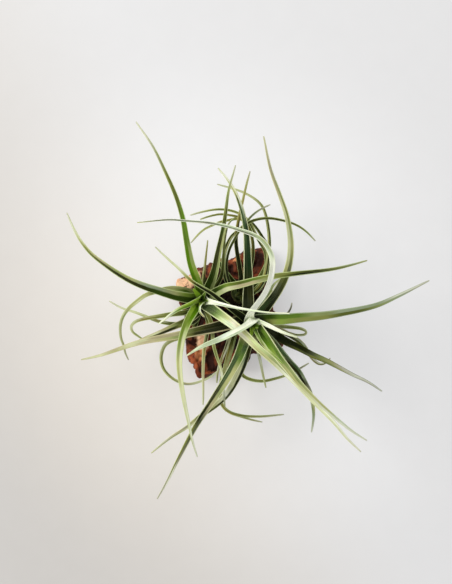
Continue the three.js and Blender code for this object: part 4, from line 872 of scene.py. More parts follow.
class Shader:
    """A material under construction."""

    def __init__(self, name: str) -> None:
        """Starts a material with one principled shader.

        Args:
            name: the material's name.
        """
        self.material = bpy.data.materials.new(name)
        self.material.use_nodes = True
        self.tree = self.material.node_tree
        self.surface = next(n for n in self.tree.nodes if n.type == "BSDF_PRINCIPLED")

    def node(self, kind: str, settings: dict | None = None, inputs: dict | None = None,
             output: int = 0) -> Wire:
        """Adds a node.

        Args:
            kind: the node's type.
            settings: its own settings; "stops" are a colour ramp's places and colours.
            inputs: values or wires, by the name or number of the socket.
            output: the number of the output that is wanted.

        Returns:
            That output.
        """
        made = self.tree.nodes.new(kind)
        for name, value in (settings or {}).items():
            if name == "stops":
                self._set_stops(made.color_ramp, value)
            else:
                setattr(made, name, value)
        for name, value in (inputs or {}).items():
            if isinstance(value, Wire):
                self.tree.links.new(value.socket, made.inputs[name])
            else:
                made.inputs[name].default_value = value
        return Wire(self, made.outputs[output])

    @staticmethod
    def _set_stops(ramp: bpy.types.ColorRamp, stops: list[tuple[float, Colour]]) -> None:
        """Sets a colour ramp's stops.

        Args:
            ramp: the ramp.
            stops: places from 0 to 1, with colours.
        """
        while len(ramp.elements) > 1:
            ramp.elements.remove(ramp.elements[-1])
        ramp.elements[0].position = stops[0][0]
        ramp.elements[0].color = (*stops[0][1], 1)
        for place, tint in stops[1:]:
            ramp.elements.new(place).color = (*tint, 1)

    def attribute(self, name: str) -> Wire:
        """One of the piece's own values."""
        return self.node("ShaderNodeAttribute", {"attribute_name": name}, output=2)

    def colour_attribute(self, name: str) -> Wire:
        """One of the piece's own colours."""
        return self.node("ShaderNodeAttribute", {"attribute_name": name}, output=0)

    def place(self, x: Wire | float, y: Wire | float, z: Wire | float) -> Wire:
        """A vector of three values."""
        return self.node("ShaderNodeCombineXYZ", inputs={"X": x, "Y": y, "Z": z})

    def object_place(self, scale: float) -> Wire:
        """The place on the object, times a scale, from metres.

        Args:
            scale: how many units there are in a metre.

        Returns:
            A vector.
        """
        return self.scaled(self.node("ShaderNodeTexCoord", output=3), scale)

    def noise(self, place: Wire, detail: float, roughness: float = 0.5) -> Wire:
        """Cloudy noise from 0 to 1.

        Args:
            place: where it is read, in units of its clouds.
            detail: how many finer layers it has.
            roughness: how strong those are.

        Returns:
            The noise.
        """
        return self.node("ShaderNodeTexNoise",
                         inputs={"Vector": place, "Scale": 1.0, "Detail": detail, "Roughness": roughness})

    def ramp(self, value: Wire, stops: list[tuple[float, Colour]]) -> Wire:
        """The colour of a ramp at a value."""
        return self.node("ShaderNodeValToRGB", {"stops": stops}, {"Fac": value})

    def blend(self, factor: Wire | float, first: Wire | Colour, second: Wire | Colour) -> Wire:
        """A colour between two.

        Args:
            factor: 0 for the first, 1 for the second.
            first: a colour.
            second: a colour.

        Returns:
            The mixed colour.
        """
        a, b = ((*c, 1) if isinstance(c, tuple) else c for c in (first, second))
        return self.node("ShaderNodeMix", {"data_type": "RGBA"}, {0: factor, 6: a, 7: b}, output=2)

    def scaled(self, first: Wire, factor: Wire | float) -> Wire:
        """A vector made longer or a colour made brighter by a factor."""
        return self.node("ShaderNodeVectorMath", {"operation": "SCALE"}, {0: first, "Scale": factor})

    def set(self, **inputs: Wire | float | Colour) -> None:
        """Sets sockets of the principled shader, named with _ for a space.

        Args:
            inputs: values or wires.
        """
        for name, value in inputs.items():
            socket = self.surface.inputs[name.replace("_", " ")]
            if isinstance(value, Wire):
                self.tree.links.new(value.socket, socket)
            else:
                socket.default_value = (*value, 1) if isinstance(value, tuple) else value

    def bump(self, height: Wire, distance: float, strength: float = 1.0) -> None:
        """Roughens the surface.

        Args:
            height: how high the surface is, from 0 to 1.
            distance: how far 1 stands over 0, in mm.
            strength: how much of it shows.
        """
        self.set(Normal=self.node("ShaderNodeBump", inputs={
            "Height": height, "Distance": distance * MM, "Strength": strength}))


@dataclass(frozen=True)
class Grain:
    """Noise that is drawn out along a leaf and differs from one leaf to the next.

    Args:
        along: how many of its clouds lie in a millimetre along the leaf.
        across: how many lie in a millimetre across it.
        spread: how many lie between one leaf and the next.
        detail: how many finer layers it has.
        roughness: how strong those are.
    """

    along: float
    across: float
    spread: float
    detail: float = 2.0
    roughness: float = 0.5

    def on(self, shader: Shader, reach: Wire, span: Wire, trait: Wire) -> Wire:
        """The noise as a value of a material.

        Args:
            shader: the material.
            reach: mm along the leaf.
            span: mm across it.
            trait: what sets the leaf apart, from 0 to 1.

        Returns:
            The noise, from 0 to 1.
        """
        place = shader.place(reach * self.along, span * self.across, trait * self.spread)
        return shader.noise(place, self.detail, self.roughness)


@dataclass(frozen=True)
class LeafFinish:
    """The finish of one kind of leaf: coloured flesh with lengthwise lines, under a coat of fine scales.

    Args:
        coat: how thick the scales lie on the upper face, from 0 to 1.
        roughness: of the upper face.
        gloss: how much it mirrors.
        depth: how much of the light its flesh throws back, against the colours of its look.
        painted_glow: painted light, how much the leaf glows by itself; it stands in for light coming through
            it from below and lifts its shade.
        sheath_reach: mm from the root over which the papery base fades.
        scales: colour of the scales.
        sheath: colour of the papery base that clasps the stem.
        under: colour of the scales on the under face.
        lines: the pattern of the dark lengthwise lines.
        veins: the pattern of the finer pale lines.
        clouds: the pattern of slow changes along the leaf.
        specks: the pattern of the scales.
    """

    coat: float
    roughness: float
    gloss: float = 0.05
    depth: float = 1.0
    painted_glow: float = 0.0
    sheath_reach: float = 11.0
    scales: Colour = colour(226, 230, 208)
    sheath: Colour = colour(132, 122, 76)
    under: Colour = colour(166, 176, 134)
    lines: Grain = Grain(0.03, 1.9, 90, 3.0, 0.6)
    veins: Grain = Grain(0.02, 4.94, 50)
    clouds: Grain = Grain(0.12, 0.3, 30)
    specks: Grain = Grain(1.92, 3.2, 70, 2.0, 0.7)

    SEAM = (-0.15, 0.15)        # over which one half's colour turns into the other's, in half widths
    SEAM_CLOUDS = 0.3           # how far clouds shift the seam
    SEAM_LINES = 0.16           # how far lines shift it
    CLOUD_SHADE = (0.82, 0.36)  # the shade of the flesh, and what clouds add to it
    LINE_RANGE = (0.5, 0.68)    # the noise over which a dark line comes in
    LINE_SHADE = 0.4            # how bright it is against the flesh
    VEIN_RANGE = (0.52, 0.8)
    VEIN_SHARE = 0.5            # how much of the margin's colour a vein has
    UPPER_RANGE = (-0.5, 0.3)   # the levels over which the under face turns into the upper one
    SCALE_RANGE = (0.45, 0.8)
    RIM_RANGE = (1.05, 0.45)    # how far in a margin's colour fades, in widths of its rim
    RIM_CLOUDS = 0.7            # how far clouds shift that
    RIM_SHARE = 0.8
    UNDER_SCALES = (0.45, 0.3)  # how much scales cover the under face, and what specks add to it
    UNDER_LINES = 0.25          # how much lines take from it
    UNDER_LINE_RANGE = (0.4, 0.7)
    PAPER_WANDER = 9            # mm that lines shift the end of the papery base
    PAPER_END = 0.3             # the share of its reach up to which the papery base is whole
    PAPER_SHARE = 0.75
    ROUGH_SPECKS = 0.24         # what specks add to the roughness
    ROUGH_UNDER = 0.12          # what the under face adds to it

    def build(self, slot: str) -> bpy.types.Material:
        """Makes the material.

        Args:
            slot: the record's material slot, which is also the material's name.

        Returns:
            The material, which reads the values that BladeShape stores.
        """
        shader = Shader(slot)
        across, face, reach, span, edge, trait, streaks, split = (
            shader.attribute(name) for name in BladeShape.VALUES)
        left, right, margin = (shader.colour_attribute(name) for name in BladeShape.COLOURS)
        lines, veins, clouds, specks = (
            grain.on(shader, reach, span, trait)
            for grain in (self.lines, self.veins, self.clouds, self.specks))

        wander = across + self.SEAM_CLOUDS * (clouds - 0.5) + self.SEAM_LINES * (lines - 0.5)
        flesh = shader.blend((wander - split).step(*self.SEAM), left, right)
        plain, clouded = self.CLOUD_SHADE
        flesh = shader.scaled(flesh, self.depth * (plain + clouded * clouds))
        dark = shader.scaled(flesh, self.LINE_SHADE)
        flesh = shader.blend(lines.step(*self.LINE_RANGE) * streaks, flesh, dark)
        flesh = shader.blend(veins.step(*self.VEIN_RANGE) * streaks * self.VEIN_SHARE, flesh, margin)

        coated = shader.blend(specks.step(*self.SCALE_RANGE) * self.coat, flesh, self.scales)
        rim = (edge + self.RIM_CLOUDS * (clouds - 0.5)).step(*self.RIM_RANGE)
        rimmed = shader.blend(rim * self.RIM_SHARE, coated, margin)
        thin, speckled = self.UNDER_SCALES
        lined = self.UNDER_LINES * lines.step(*self.UNDER_LINE_RANGE)
        under = shader.blend(thin + speckled * specks - lined, flesh, self.under)
        upper = face.step(*self.UPPER_RANGE)
        skin = shader.blend(upper, under, rimmed)
        papery = (reach + self.PAPER_WANDER * (lines - 0.5)).step(
            self.sheath_reach, self.PAPER_END * self.sheath_reach)
        hide = shader.blend(papery * self.PAPER_SHARE, skin, self.sheath)
        rough = self.ROUGH_SPECKS * (specks - 0.5) + self.ROUGH_UNDER * (1.0 - upper)
        # Painted light: the leaf glows by itself in its own colour, which lifts its shade.
        shader.set(Base_Color=hide, Emission_Color=hide, Emission_Strength=self.painted_glow,
                   Roughness=self.roughness + rough, Specular_IOR_Level=self.gloss)
        shader.bump(lines * 0.55 + veins * 0.3 + specks * 0.15, distance=0.2, strength=0.7)
        return shader.material


@dataclass(frozen=True)
class SheathFinish:
    """The finish of old leaf bases: dry and papery low down, greener near the crown.

    Args:
        dry: colour between the fibres.
        pale: colour of its tip and its fibres.
        fresh: colour of the sheaths near the crown.
        stain: colour of old stains.
        fibres: the pattern of lengthwise fibres.
        stains: the pattern of stains.
    """

    dry: Colour = colour(64, 50, 28)
    pale: Colour = colour(128, 116, 74)
    fresh: Colour = colour(58, 76, 24)
    stain: Colour = colour(36, 26, 14)
    fibres: Grain = Grain(0.08, 2.4, 9, 4.0, 0.6)
    stains: Grain = Grain(0.3, 0.3, 4, 3.0)

    TIP_PALENESS = 0.5          # how much more of its pale colour a sheath has at its tip
    PALE_RANGE = (0.35, 1.0)
    GREEN_RANGE = (0.2, 0.9)    # the shares of the stem's height over which sheaths get green
    STAIN_RANGE = (0.55, 0.75)
    STAIN_SHARE = 0.5

    def build(self) -> bpy.types.Material:
        """Makes the material.

        Returns:
            The material, which reads the values that HeadPieces stores.
        """
        shader = Shader("stem")
        along, reach, span, trait, green = (shader.attribute(name) for name in HeadPieces.VALUES)
        fibres = self.fibres.on(shader, reach, span, trait)
        stains = self.stains.on(shader, reach, span, trait)
        pale = (fibres + self.TIP_PALENESS * along).step(*self.PALE_RANGE)
        papery = shader.blend(pale, self.dry, self.pale)
        living = shader.blend(green.step(*self.GREEN_RANGE), papery, self.fresh)
        stained = shader.blend(stains.step(*self.STAIN_RANGE) * self.STAIN_SHARE, living, self.stain)
        shader.set(Base_Color=stained, Roughness=0.7 + 0.25 * (stains - 0.5), Specular_IOR_Level=0.3)
        shader.bump(fibres, distance=0.3)
        return shader.material


class BarkHue(Enum):
    """The colours of the bark, as display values."""

    PITCH = (22, 12, 4)         # painted shade in cracks, gaps and hollows, and under the leaves
    MAROON = (50, 21, 12)
    RUST = (106, 46, 24)
    EMBER = (164, 84, 48)
    CLAY = (214, 140, 92)
    PEACH = (238, 194, 154)     # freshly broken faces, and partly painted light on faces turned to the light

    @property
    def linear(self) -> Colour:
        """The colour as the linear values that shaders take."""
        return colour(*self.value)


PITCH, MAROON, RUST, EMBER, CLAY, PEACH = BarkHue


@dataclass(frozen=True)
class BarkFinish:
    """The finish of rough bark: smooth red-brown flakes, pale broken faces (partly painted light) and
    near-black painted shade in its cracks.

    Args:
        flake_size: mm across a flake of one colour.
        grain_size: mm across the finest grain.
        drift_size: mm over which the colours change slowly.
        layer_scale: how many layers lie in a millimetre, along x, y and z.
        rim_share: how much paler the rims of the plates are.
        crack_share: how dark the painted shade in cracks is.
        patch_crack_share: how much less of that painted shade there is on a patch.
    """

    flake_size: float = 7.0
    grain_size: float = 2.2
    drift_size: float = 7.0 / 0.3
    layer_scale: Point = (0.12, 0.12, 0.9)
    rim_share: float = 0.3
    crack_share: float = 0.6
    patch_crack_share: float = 0.4

    STOPS = ((0.45, MAROON.linear), (0.68, RUST.linear), (0.9, EMBER.linear))
    STOP_MIX = (0.3, 0.85, 0.55)  # how much flakes, slow changes and grain have to do with the colour
    PATCH_COVER = (0.6, 0.5)    # how well a patch covers, and what grain adds to that
    PATCH_RANGE = (0.3, 0.8)
    LAYER_SHADE = (0.7, 0.5)    # the shade of the bark, and what layers add to it
    RIM_GRAIN = 0.5             # how far grain shifts the rims
    RIM_RANGE = (0.7, 1.2)
    CRACK_GRAIN = 0.3           # how far grain shifts the cracks
    CRACK_RANGE = (0.35, 0.9)

    def build(self) -> bpy.types.Material:
        """Makes the material.

        Returns:
            The material, which reads the values that Bark stores.
        """
        shader = Shader("bark")
        crack, rim, patched = (shader.attribute(name) for name in Bark.VALUES)
        patch = shader.colour_attribute("patch")
        grain = shader.noise(shader.object_place(1 / (self.grain_size * MM)), detail=4.0, roughness=0.6)
        drift = shader.noise(shader.object_place(1 / (self.drift_size * MM)), detail=2.0)
        beds = shader.node("ShaderNodeMapping", inputs={
            "Vector": shader.object_place(1 / MM), "Scale": self.layer_scale})
        layers = shader.noise(beds, detail=3.0, roughness=0.6)
        flakes = shader.node("ShaderNodeTexVoronoi", inputs={
            "Vector": shader.object_place(1 / (self.flake_size * MM)), "Scale": 1.0}, output=1)
        flake = shader.node("ShaderNodeSeparateColor", inputs={"Color": flakes})

        by_flake, by_drift, by_grain = self.STOP_MIX
        body = shader.ramp(by_flake * flake + by_drift * drift + by_grain * (grain - 0.5), self.STOPS)
        cover, grained = self.PATCH_COVER
        body = shader.blend(patched * (cover + grained * grain).step(*self.PATCH_RANGE), body, patch)
        plain, layered = self.LAYER_SHADE
        body = shader.scaled(body, plain + layered * layers)
        paler = (rim + self.RIM_GRAIN * grain).step(*self.RIM_RANGE) * self.rim_share
        body = shader.blend(paler, body, EMBER.linear)
        # Painted shade: cracks, gaps between flakes and hollows are darkened towards near-black, less so on
        # a patch.
        depth = (crack + self.CRACK_GRAIN * (grain - 0.5)).step(*self.CRACK_RANGE)
        depth = depth * (self.crack_share - self.patch_crack_share * patched)
        shader.set(Base_Color=shader.blend(depth, body, PITCH.linear),
                   Roughness=0.66 + 0.4 * (grain - 0.5), Specular_IOR_Level=0.12)
        shader.bump(grain * 0.6 + layers * 0.4, distance=0.5, strength=0.8)
        return shader.material


# Leaves


@dataclass
class BladeShape:
    """The shape of one leaf: a channelled blade that tapers along its path.

    Args:
        path: its middle line.
        outlook: the way that its upper side looks where it stands upright.
        width: widest width in mm.
        taper: the power of its taper.
        trait: a number from 0 to 1 that sets it apart from the others.
        look: its colours.
        swell: how much wider it gets towards its root, as a share.
        lead: how many points of its path come before its route.
        ring_step: mm between two rings before subdivision.
        strips: how many strips it has from margin to margin.
        crease: how much of the fold is in the crease along the middle.
        twist: how far it turns to either side, in slow waves.
        waver: mm that its line strays, in slow waves.
    """

    path: SmoothPath
    outlook: Vector
    width: float
    taper: float
    trait: float
    look: Look
    swell: float = BASE_SWELL
    lead: int = 2
    ring_step: float = 2.6
    strips: int = 8
    crease: float = 0.35
    twist: float = math.radians(7)
    waver: float = 0.35

    VALUES = ("across", "face", "reach", "span", "edge", "trait", "streaks", "split")
    COLOURS = ("left", "right", "margin")
    FREE_REACH = 30             # mm from the root over which the waves grow
    TWIST_WAVE = (38, 31, 0)    # mm that a wave is long, how far apart leaves read it, and its row
    WAVER_WAVE = (24, 17, 5)
    MOST_RIM = 0.3              # the widest rim, as a share of half the width
    FEWEST_RINGS = 10

    def frame_at(self, reach: float) -> tuple[Vector, Vector, Vector]:
        """Where the middle of the blade is, and how it lies.

        Args:
            reach: mm from the root.

        Returns:
            The middle, the way to its side and the way its upper face looks.
        """
        heading = self.path.heading(reach)
        above = UP.lerp(self.outlook, max(0.0, heading.z))
        side = heading.cross(above).normalized()
        face = side.cross(heading)
        turn = self.twist * self.wave(reach, self.TWIST_WAVE)
        cos, sin = math.cos(turn), math.sin(turn)
        side, face = side * cos + face * sin, face * cos - side * sin
        return self.path.point(reach) + side * self.waver * self.wave(reach, self.WAVER_WAVE), side, face

    def wave(self, reach: float, wave: Point) -> float:
        """A slow wave along the blade.

        Args:
            reach: mm from the root.
            wave: mm that it is long, how far apart leaves read it, and its row.

        Returns:
            A value from -1 to 1, and 0 at the root.
        """
        length, spread, row = wave
        height = noise.noise(Vector((reach / length, self.trait * spread, row)))
        return ease(0, self.FREE_REACH, reach) * height

    def half_width(self, along: float, reach: float) -> float:
        """Half the width of the blade.

        Args:
            along: share of the length, from 0 to 1.
            reach: mm from the root.

        Returns:
            The width in mm.
        """
        wide = 1 + self.swell * math.exp(-((reach / BASE_REACH) ** 2))
        return mix(TIP_WIDTH, self.width * wide, (1 - along) ** self.taper) / 2

    def surface(self, along: float, across: float, level: float) -> Vector:
        """A point of the blade's skin.

        Args:
            along: share of the length, from 0 to 1.
            across: from -1 at the left margin to 1 at the right one.
            level: 1 on the upper face and -1 on the under face.

        Returns:
            The point in mm.
        """
        reach = along * self.path.length
        centre, side, face = self.frame_at(reach)
        fold = mix(CHANNEL_BASE, CHANNEL_TIP, min(1.0, along / CHANNEL_END))
        first, more = fold * self.crease, 2 * fold * (1 - self.crease)
        slope = first + more * abs(across)
        half = self.half_width(along, reach)
        out = half * (math.sin(slope) - math.sin(first)) / more
        up = half * (math.cos(first) - math.cos(slope)) / more
        thickness = mix(mix(BLADE_BASE, BLADE_TIP, along), BLADE_MARGIN, across * across) / 2 * level
        sign = math.copysign(1, across) if abs(across) > NIL else 0
        out -= thickness * math.sin(slope) if sign else 0
        return centre + side * out * sign + face * (up + thickness * (math.cos(slope) if sign else 1))

    def add_to(self, bm: bmesh.types.BMesh) -> None:
        """Adds the blade to a mesh, with the values that its finish reads.

        Args:
            bm: the mesh.
        """
        numbers, colours = bm.verts.layers.float, bm.verts.layers.float_color
        value_layers = [numbers.get(name) or numbers.new(name) for name in self.VALUES]
        colour_layers = [colours.get(name) or colours.new(name) for name in self.COLOURS]
        rings = max(self.FEWEST_RINGS, round(self.path.length / self.ring_step))
        for vert in slab(bm, rings, self.strips):
            along, across, level = vert.co
            reach = along * self.path.length
            half = self.half_width(along, reach)
            rim = min(self.look.rims[across > 0], self.MOST_RIM * half)
            values = (across, level, reach, across * half, half * (1 - abs(across)) / rim, self.trait,
                      self.look.streaks, self.look.split)
            left, right = self.look.at(self.path.place(reach) - self.lead)
            for layer, value in zip(value_layers, values):
                vert[layer] = value
            for layer, value in zip(colour_layers, (left, right, self.look.margin.linear)):
                vert[layer] = (*value, 1)
            vert.co = self.surface(along, across, level)


def leaf_shape(leaf: Leaf, head: Head, trait: float) -> BladeShape:
    """The shape of a leaf that runs up the side of its stem and out along its route.

    Its upper side looks to the stem where it stands upright, or away where it bends over the crown.

    Args:
        leaf: the leaf.
        head: the head that it grows on.
        trait: a number from 0 to 1 that sets it apart from the others.

    Returns:
        Its shape.
    """
    points = [plan_point(place) for place in leaf.route]
    height = leaf.root + ROUTE_LEVEL
    out = points[0] - head.middle(height)
    out.z = 0
    out.normalize()
    sheath = [head.middle(level) + out * (head.radius_at(level) + SHEATH_STANDOFF)
              for level in (max(height - SHEATH_LENGTH, LOWEST_SHEATH), height)]
    outlook = out if (points[1] - points[0]).dot(out) < 0 else -out
    return BladeShape(SmoothPath([*sheath, *points]), outlook, leaf.width, leaf.taper, trait, leaf.look)


# Heads


@dataclass
class HeadPieces:
    """Builds and dresses one head: its leaves, its heart and the old sheaths round its stem.

    Args:
        head: the head.
        leaf_materials: the finishes of its kinds of leaf.
        stem_material: the finish of its sheaths.
        draw: the random draws that set its leaves and sheaths apart.
        sheath_count: how many old sheaths wrap the stem.
        sheath_length: mm from a sheath's root to its tip, more or less.
        sheath_spread: how far round the stem each half of a sheath reaches at its root.
        sheath_point: the same at its tip.
        sheath_thickness: mm at its root; half of it at its tip.
        sheath_flare: mm that its tip stands off the stem, more or less.
        sheath_standoff: mm that the whole sheath stands off it.
        sheath_foot: mm from the foot of the stem to the lowest sheath.
        sheath_cuts: rings along a sheath and strips across it.
        sheath_fray: mm that its tip is frayed by.
        sheath_fray_waves: how many frays there are across half a sheath.
        core_rings: rings of the stem's core.
        core_sides: sides of the core.
    """

    head: Head
    leaf_materials: dict[Tone, bpy.types.Material]
    stem_material: bpy.types.Material
    draw: random.Random
    sheath_count: int = 22
    sheath_length: float = 15.0
    sheath_spread: float = math.radians(78)
    sheath_point: float = 0.06
    sheath_thickness: float = 0.5
    sheath_flare: float = 2.2
    sheath_standoff: float = 0.5
    sheath_foot: float = 4.0
    sheath_cuts: tuple[int, int] = (8, 6)
    sheath_fray: float = 0.8
    sheath_fray_waves: float = 3.0
    core_rings: int = 24
    core_sides: int = 28

    VALUES = ("along", "reach", "span", "trait", "green")
    CORE_TRAIT = 0.5            # what sets the core apart from the sheaths
    TRAIT_SPREAD = 40           # how far apart sheaths read their frays
    TOP_SHEATH = 0.8            # how far below the crown the top sheath starts, in sheath lengths
    SPREAD_POWER = 2.2          # how late along its length a sheath narrows
    CROOKED = 0.3               # how far a sheath turns from its place round the stem
    LENGTHS = (0.7, 1.15)       # the shares of that length that sheaths are drawn between
    FLARES = (0.5, 1.4)         # the same for that flare

    def build(self) -> None:
        """Builds every piece of the head."""
        self.build_stem()
        self.build_heart()
        for leaf in self.head.leaves:
            node = f"{self.head.name}_leaf_{leaf.name}"
            bm = bmesh.new()
            leaf_shape(leaf, self.head, self.draw.random()).add_to(bm)
            Piece(f"{node}_blade", self.leaf_materials[leaf.tone], leaf.tone.value, (node,)).make(bm)

    def build_heart(self) -> None:
        """Builds the small leaves that stand up from the crown."""
        bm = bmesh.new()
        for leaf in self.head.heart:
            self.heart_shape(leaf, self.draw.random()).add_to(bm)
        name, tone = self.head.name, Tone.HEART
        Piece(f"{name}_heart", self.leaf_materials[tone], tone.value, (f"{name}_stem",)).make(bm)

    def heart_shape(self, leaf: HeartLeaf, trait: float) -> BladeShape:
        """The shape of one heart leaf.

        Args:
            leaf: the leaf.
            trait: a number from 0 to 1 that sets it apart from the others.

        Returns:
            Its shape.
        """
        angle = math.radians(leaf.facing)
        out = Vector((math.cos(angle), math.sin(angle), 0))
        base = Vector(self.head.crown) + out * HEART_SEAT
        points = [base, base + out * leaf.lean / 3 + UP * leaf.length / 2,
                  base + out * leaf.lean + UP * leaf.length]
        return BladeShape(SmoothPath(points), -out, leaf.width, HEART_TAPER, trait, leaf.look, swell=0.0,
                          lead=0, ring_step=1.6, waver=0.15)

    def build_stem(self) -> None:
        """Builds the stem: a core wrapped in old sheaths that wind up it."""
        bm = bmesh.new()
        for name in self.VALUES:
            bm.verts.layers.float.new(name)
        foot, crown = self.head.foot[2], self.head.crown[2]
        for vert in tube(bm, self.core_rings, self.core_sides):
            height = mix(foot, crown, vert.co.z)
            angle = math.atan2(vert.co.y, vert.co.x)
            self.store(bm, vert, (vert.co.z, height, angle * self.head.radius, self.CORE_TRAIT))
            vert.co = self.on_stem(height, angle, 0.0)
        for index in range(self.sheath_count):
            self.add_sheath(bm, index)
        name = self.head.name
        Piece(f"{name}_stem_sheaths", self.stem_material, "stem", (f"{name}_stem",)).make(bm)

    def store(self, bm: bmesh.types.BMesh, vert: bmesh.types.BMVert, values: tuple[float, ...]) -> None:
        """Keeps the values that the sheaths' finish reads.

        Args:
            bm: the stem's mesh.
            vert: the vertex.
            values: share of the sheath's length, height in mm, mm round the stem, and what sets it apart.
        """
        foot, crown = self.head.foot[2], self.head.crown[2]
        green = (values[1] - foot) / (crown - foot)
        for name, value in zip(self.VALUES, (*values, green)):
            vert[bm.verts.layers.float[name]] = value

    def on_stem(self, height: float, angle: float, standoff: float) -> Vector:
        """A point out from the stem's surface.

        Args:
            height: level in mm.
            angle: direction round the stem.
            standoff: mm out from the surface.

        Returns:
            The point.
        """
        reach = self.head.radius_at(height) + standoff
        return self.head.middle(height) + Vector((math.cos(angle), math.sin(angle), 0)) * reach

    def add_sheath(self, bm: bmesh.types.BMesh, index: int) -> None:
        """Adds one old sheath, which clasps the stem and stands off it towards its tip.

        Args:
            bm: the stem's mesh.
            index: its number, from the lowest.
        """
        foot, crown = self.head.foot[2], self.head.crown[2]
        up = index / (self.sheath_count - 1)
        start = mix(foot + self.sheath_foot, crown - self.sheath_length * self.TOP_SHEATH, up)
        facing = index * GOLDEN_ANGLE + self.draw.uniform(-self.CROOKED, self.CROOKED)
        length = self.sheath_length * self.draw.uniform(*self.LENGTHS)
        flare = self.sheath_flare * self.draw.uniform(*self.FLARES)
        trait = self.draw.random()
        for vert in slab(bm, *self.sheath_cuts):
            along, across, level = vert.co
            height = start + along * length
            spread = self.sheath_spread * (1 - along ** self.SPREAD_POWER) + self.sheath_point
            fray_place = Vector((across * self.sheath_fray_waves, trait * self.TRAIT_SPREAD, 0))
            fray = self.sheath_fray * noise.noise(fray_place) * along
            skin = level * self.sheath_thickness * (1 - 0.5 * along) / 2
            standoff = self.sheath_standoff + flare * along ** 2 + skin
            angle = facing + across * spread
            self.store(bm, vert, (along, height, across * spread * self.head.radius, trait))
            vert.co = self.on_stem(height + fray, angle, standoff)


# Bark


@dataclass(frozen=True)
class BarkPatch:
    """A part of the bark's surface that has a colour of its own; some patches are painted shade and painted
    light.

    Args:
        place: its middle in mm.
        reach: how far it reaches from there.
        hue: its colour.
    """

    place: Point
    reach: float
    hue: BarkHue

    WANDER = 0.22               # how uneven its edge is, as a share of its reach
    WANDER_SIZE = 4             # mm over which its edge strays
    FADE = (0.75, 1.1)          # the shares of its reach between which it fades

    def share(self, point: Vector) -> float:
        """How much a point belongs to the patch, from 0 to 1."""
        wander = self.WANDER * self.reach * noise.noise(point / self.WANDER_SIZE)
        inner, outer = (share * self.reach for share in self.FADE)
        return 1 - ease(inner, outer, (point - Vector(self.place)).length + wander)


# Where two patches cover a place alike, the one that comes first has it
# The near-black patches in the middle are painted shade, where the leaves shade the bark; the peach ones are
# partly painted light on faces turned to the light.
BARK_PATCHES = tuple(BarkPatch((x, y, z), reach, hue) for x, y, z, reach, hue in (
    (-38, 25, 17, 12, PEACH), (-29, 29, 21, 8, PEACH), (-21, 35, 21, 4, PEACH), (-19, 27, 22, 6, MAROON),
    (-31, -23, 20, 6.5, MAROON), (-22, -17, 22, 6, PEACH), (-21, -24, 22, 5.5, PEACH),
    (-22, -32, 21, 5, CLAY), (-29, -41, 18, 6.5, EMBER), (-24, -49, 17, 5.5, RUST),
    (-12, -36, 21, 9, MAROON), (-16, -49, 19, 4.5, EMBER), (4, 45, 19, 4.5, CLAY), (6, 36, 21, 7, MAROON),
    (21, 43, 19, 8.5, MAROON), (20, 50.5, 18, 3.5, EMBER), (22, 41, 22, 2, CLAY), (27, 45, 20, 2.5, PEACH),
    (33, 4, 19, 5, RUST), (35, -22, 18, 7, MAROON), (2, 14, 21, 17, PITCH), (-12, 8, 21, 14, PITCH),
    (16, 2, 21, 14, PITCH), (6, -18, 21, 14, PITCH), (-6, 30, 21, 9, MAROON),
))


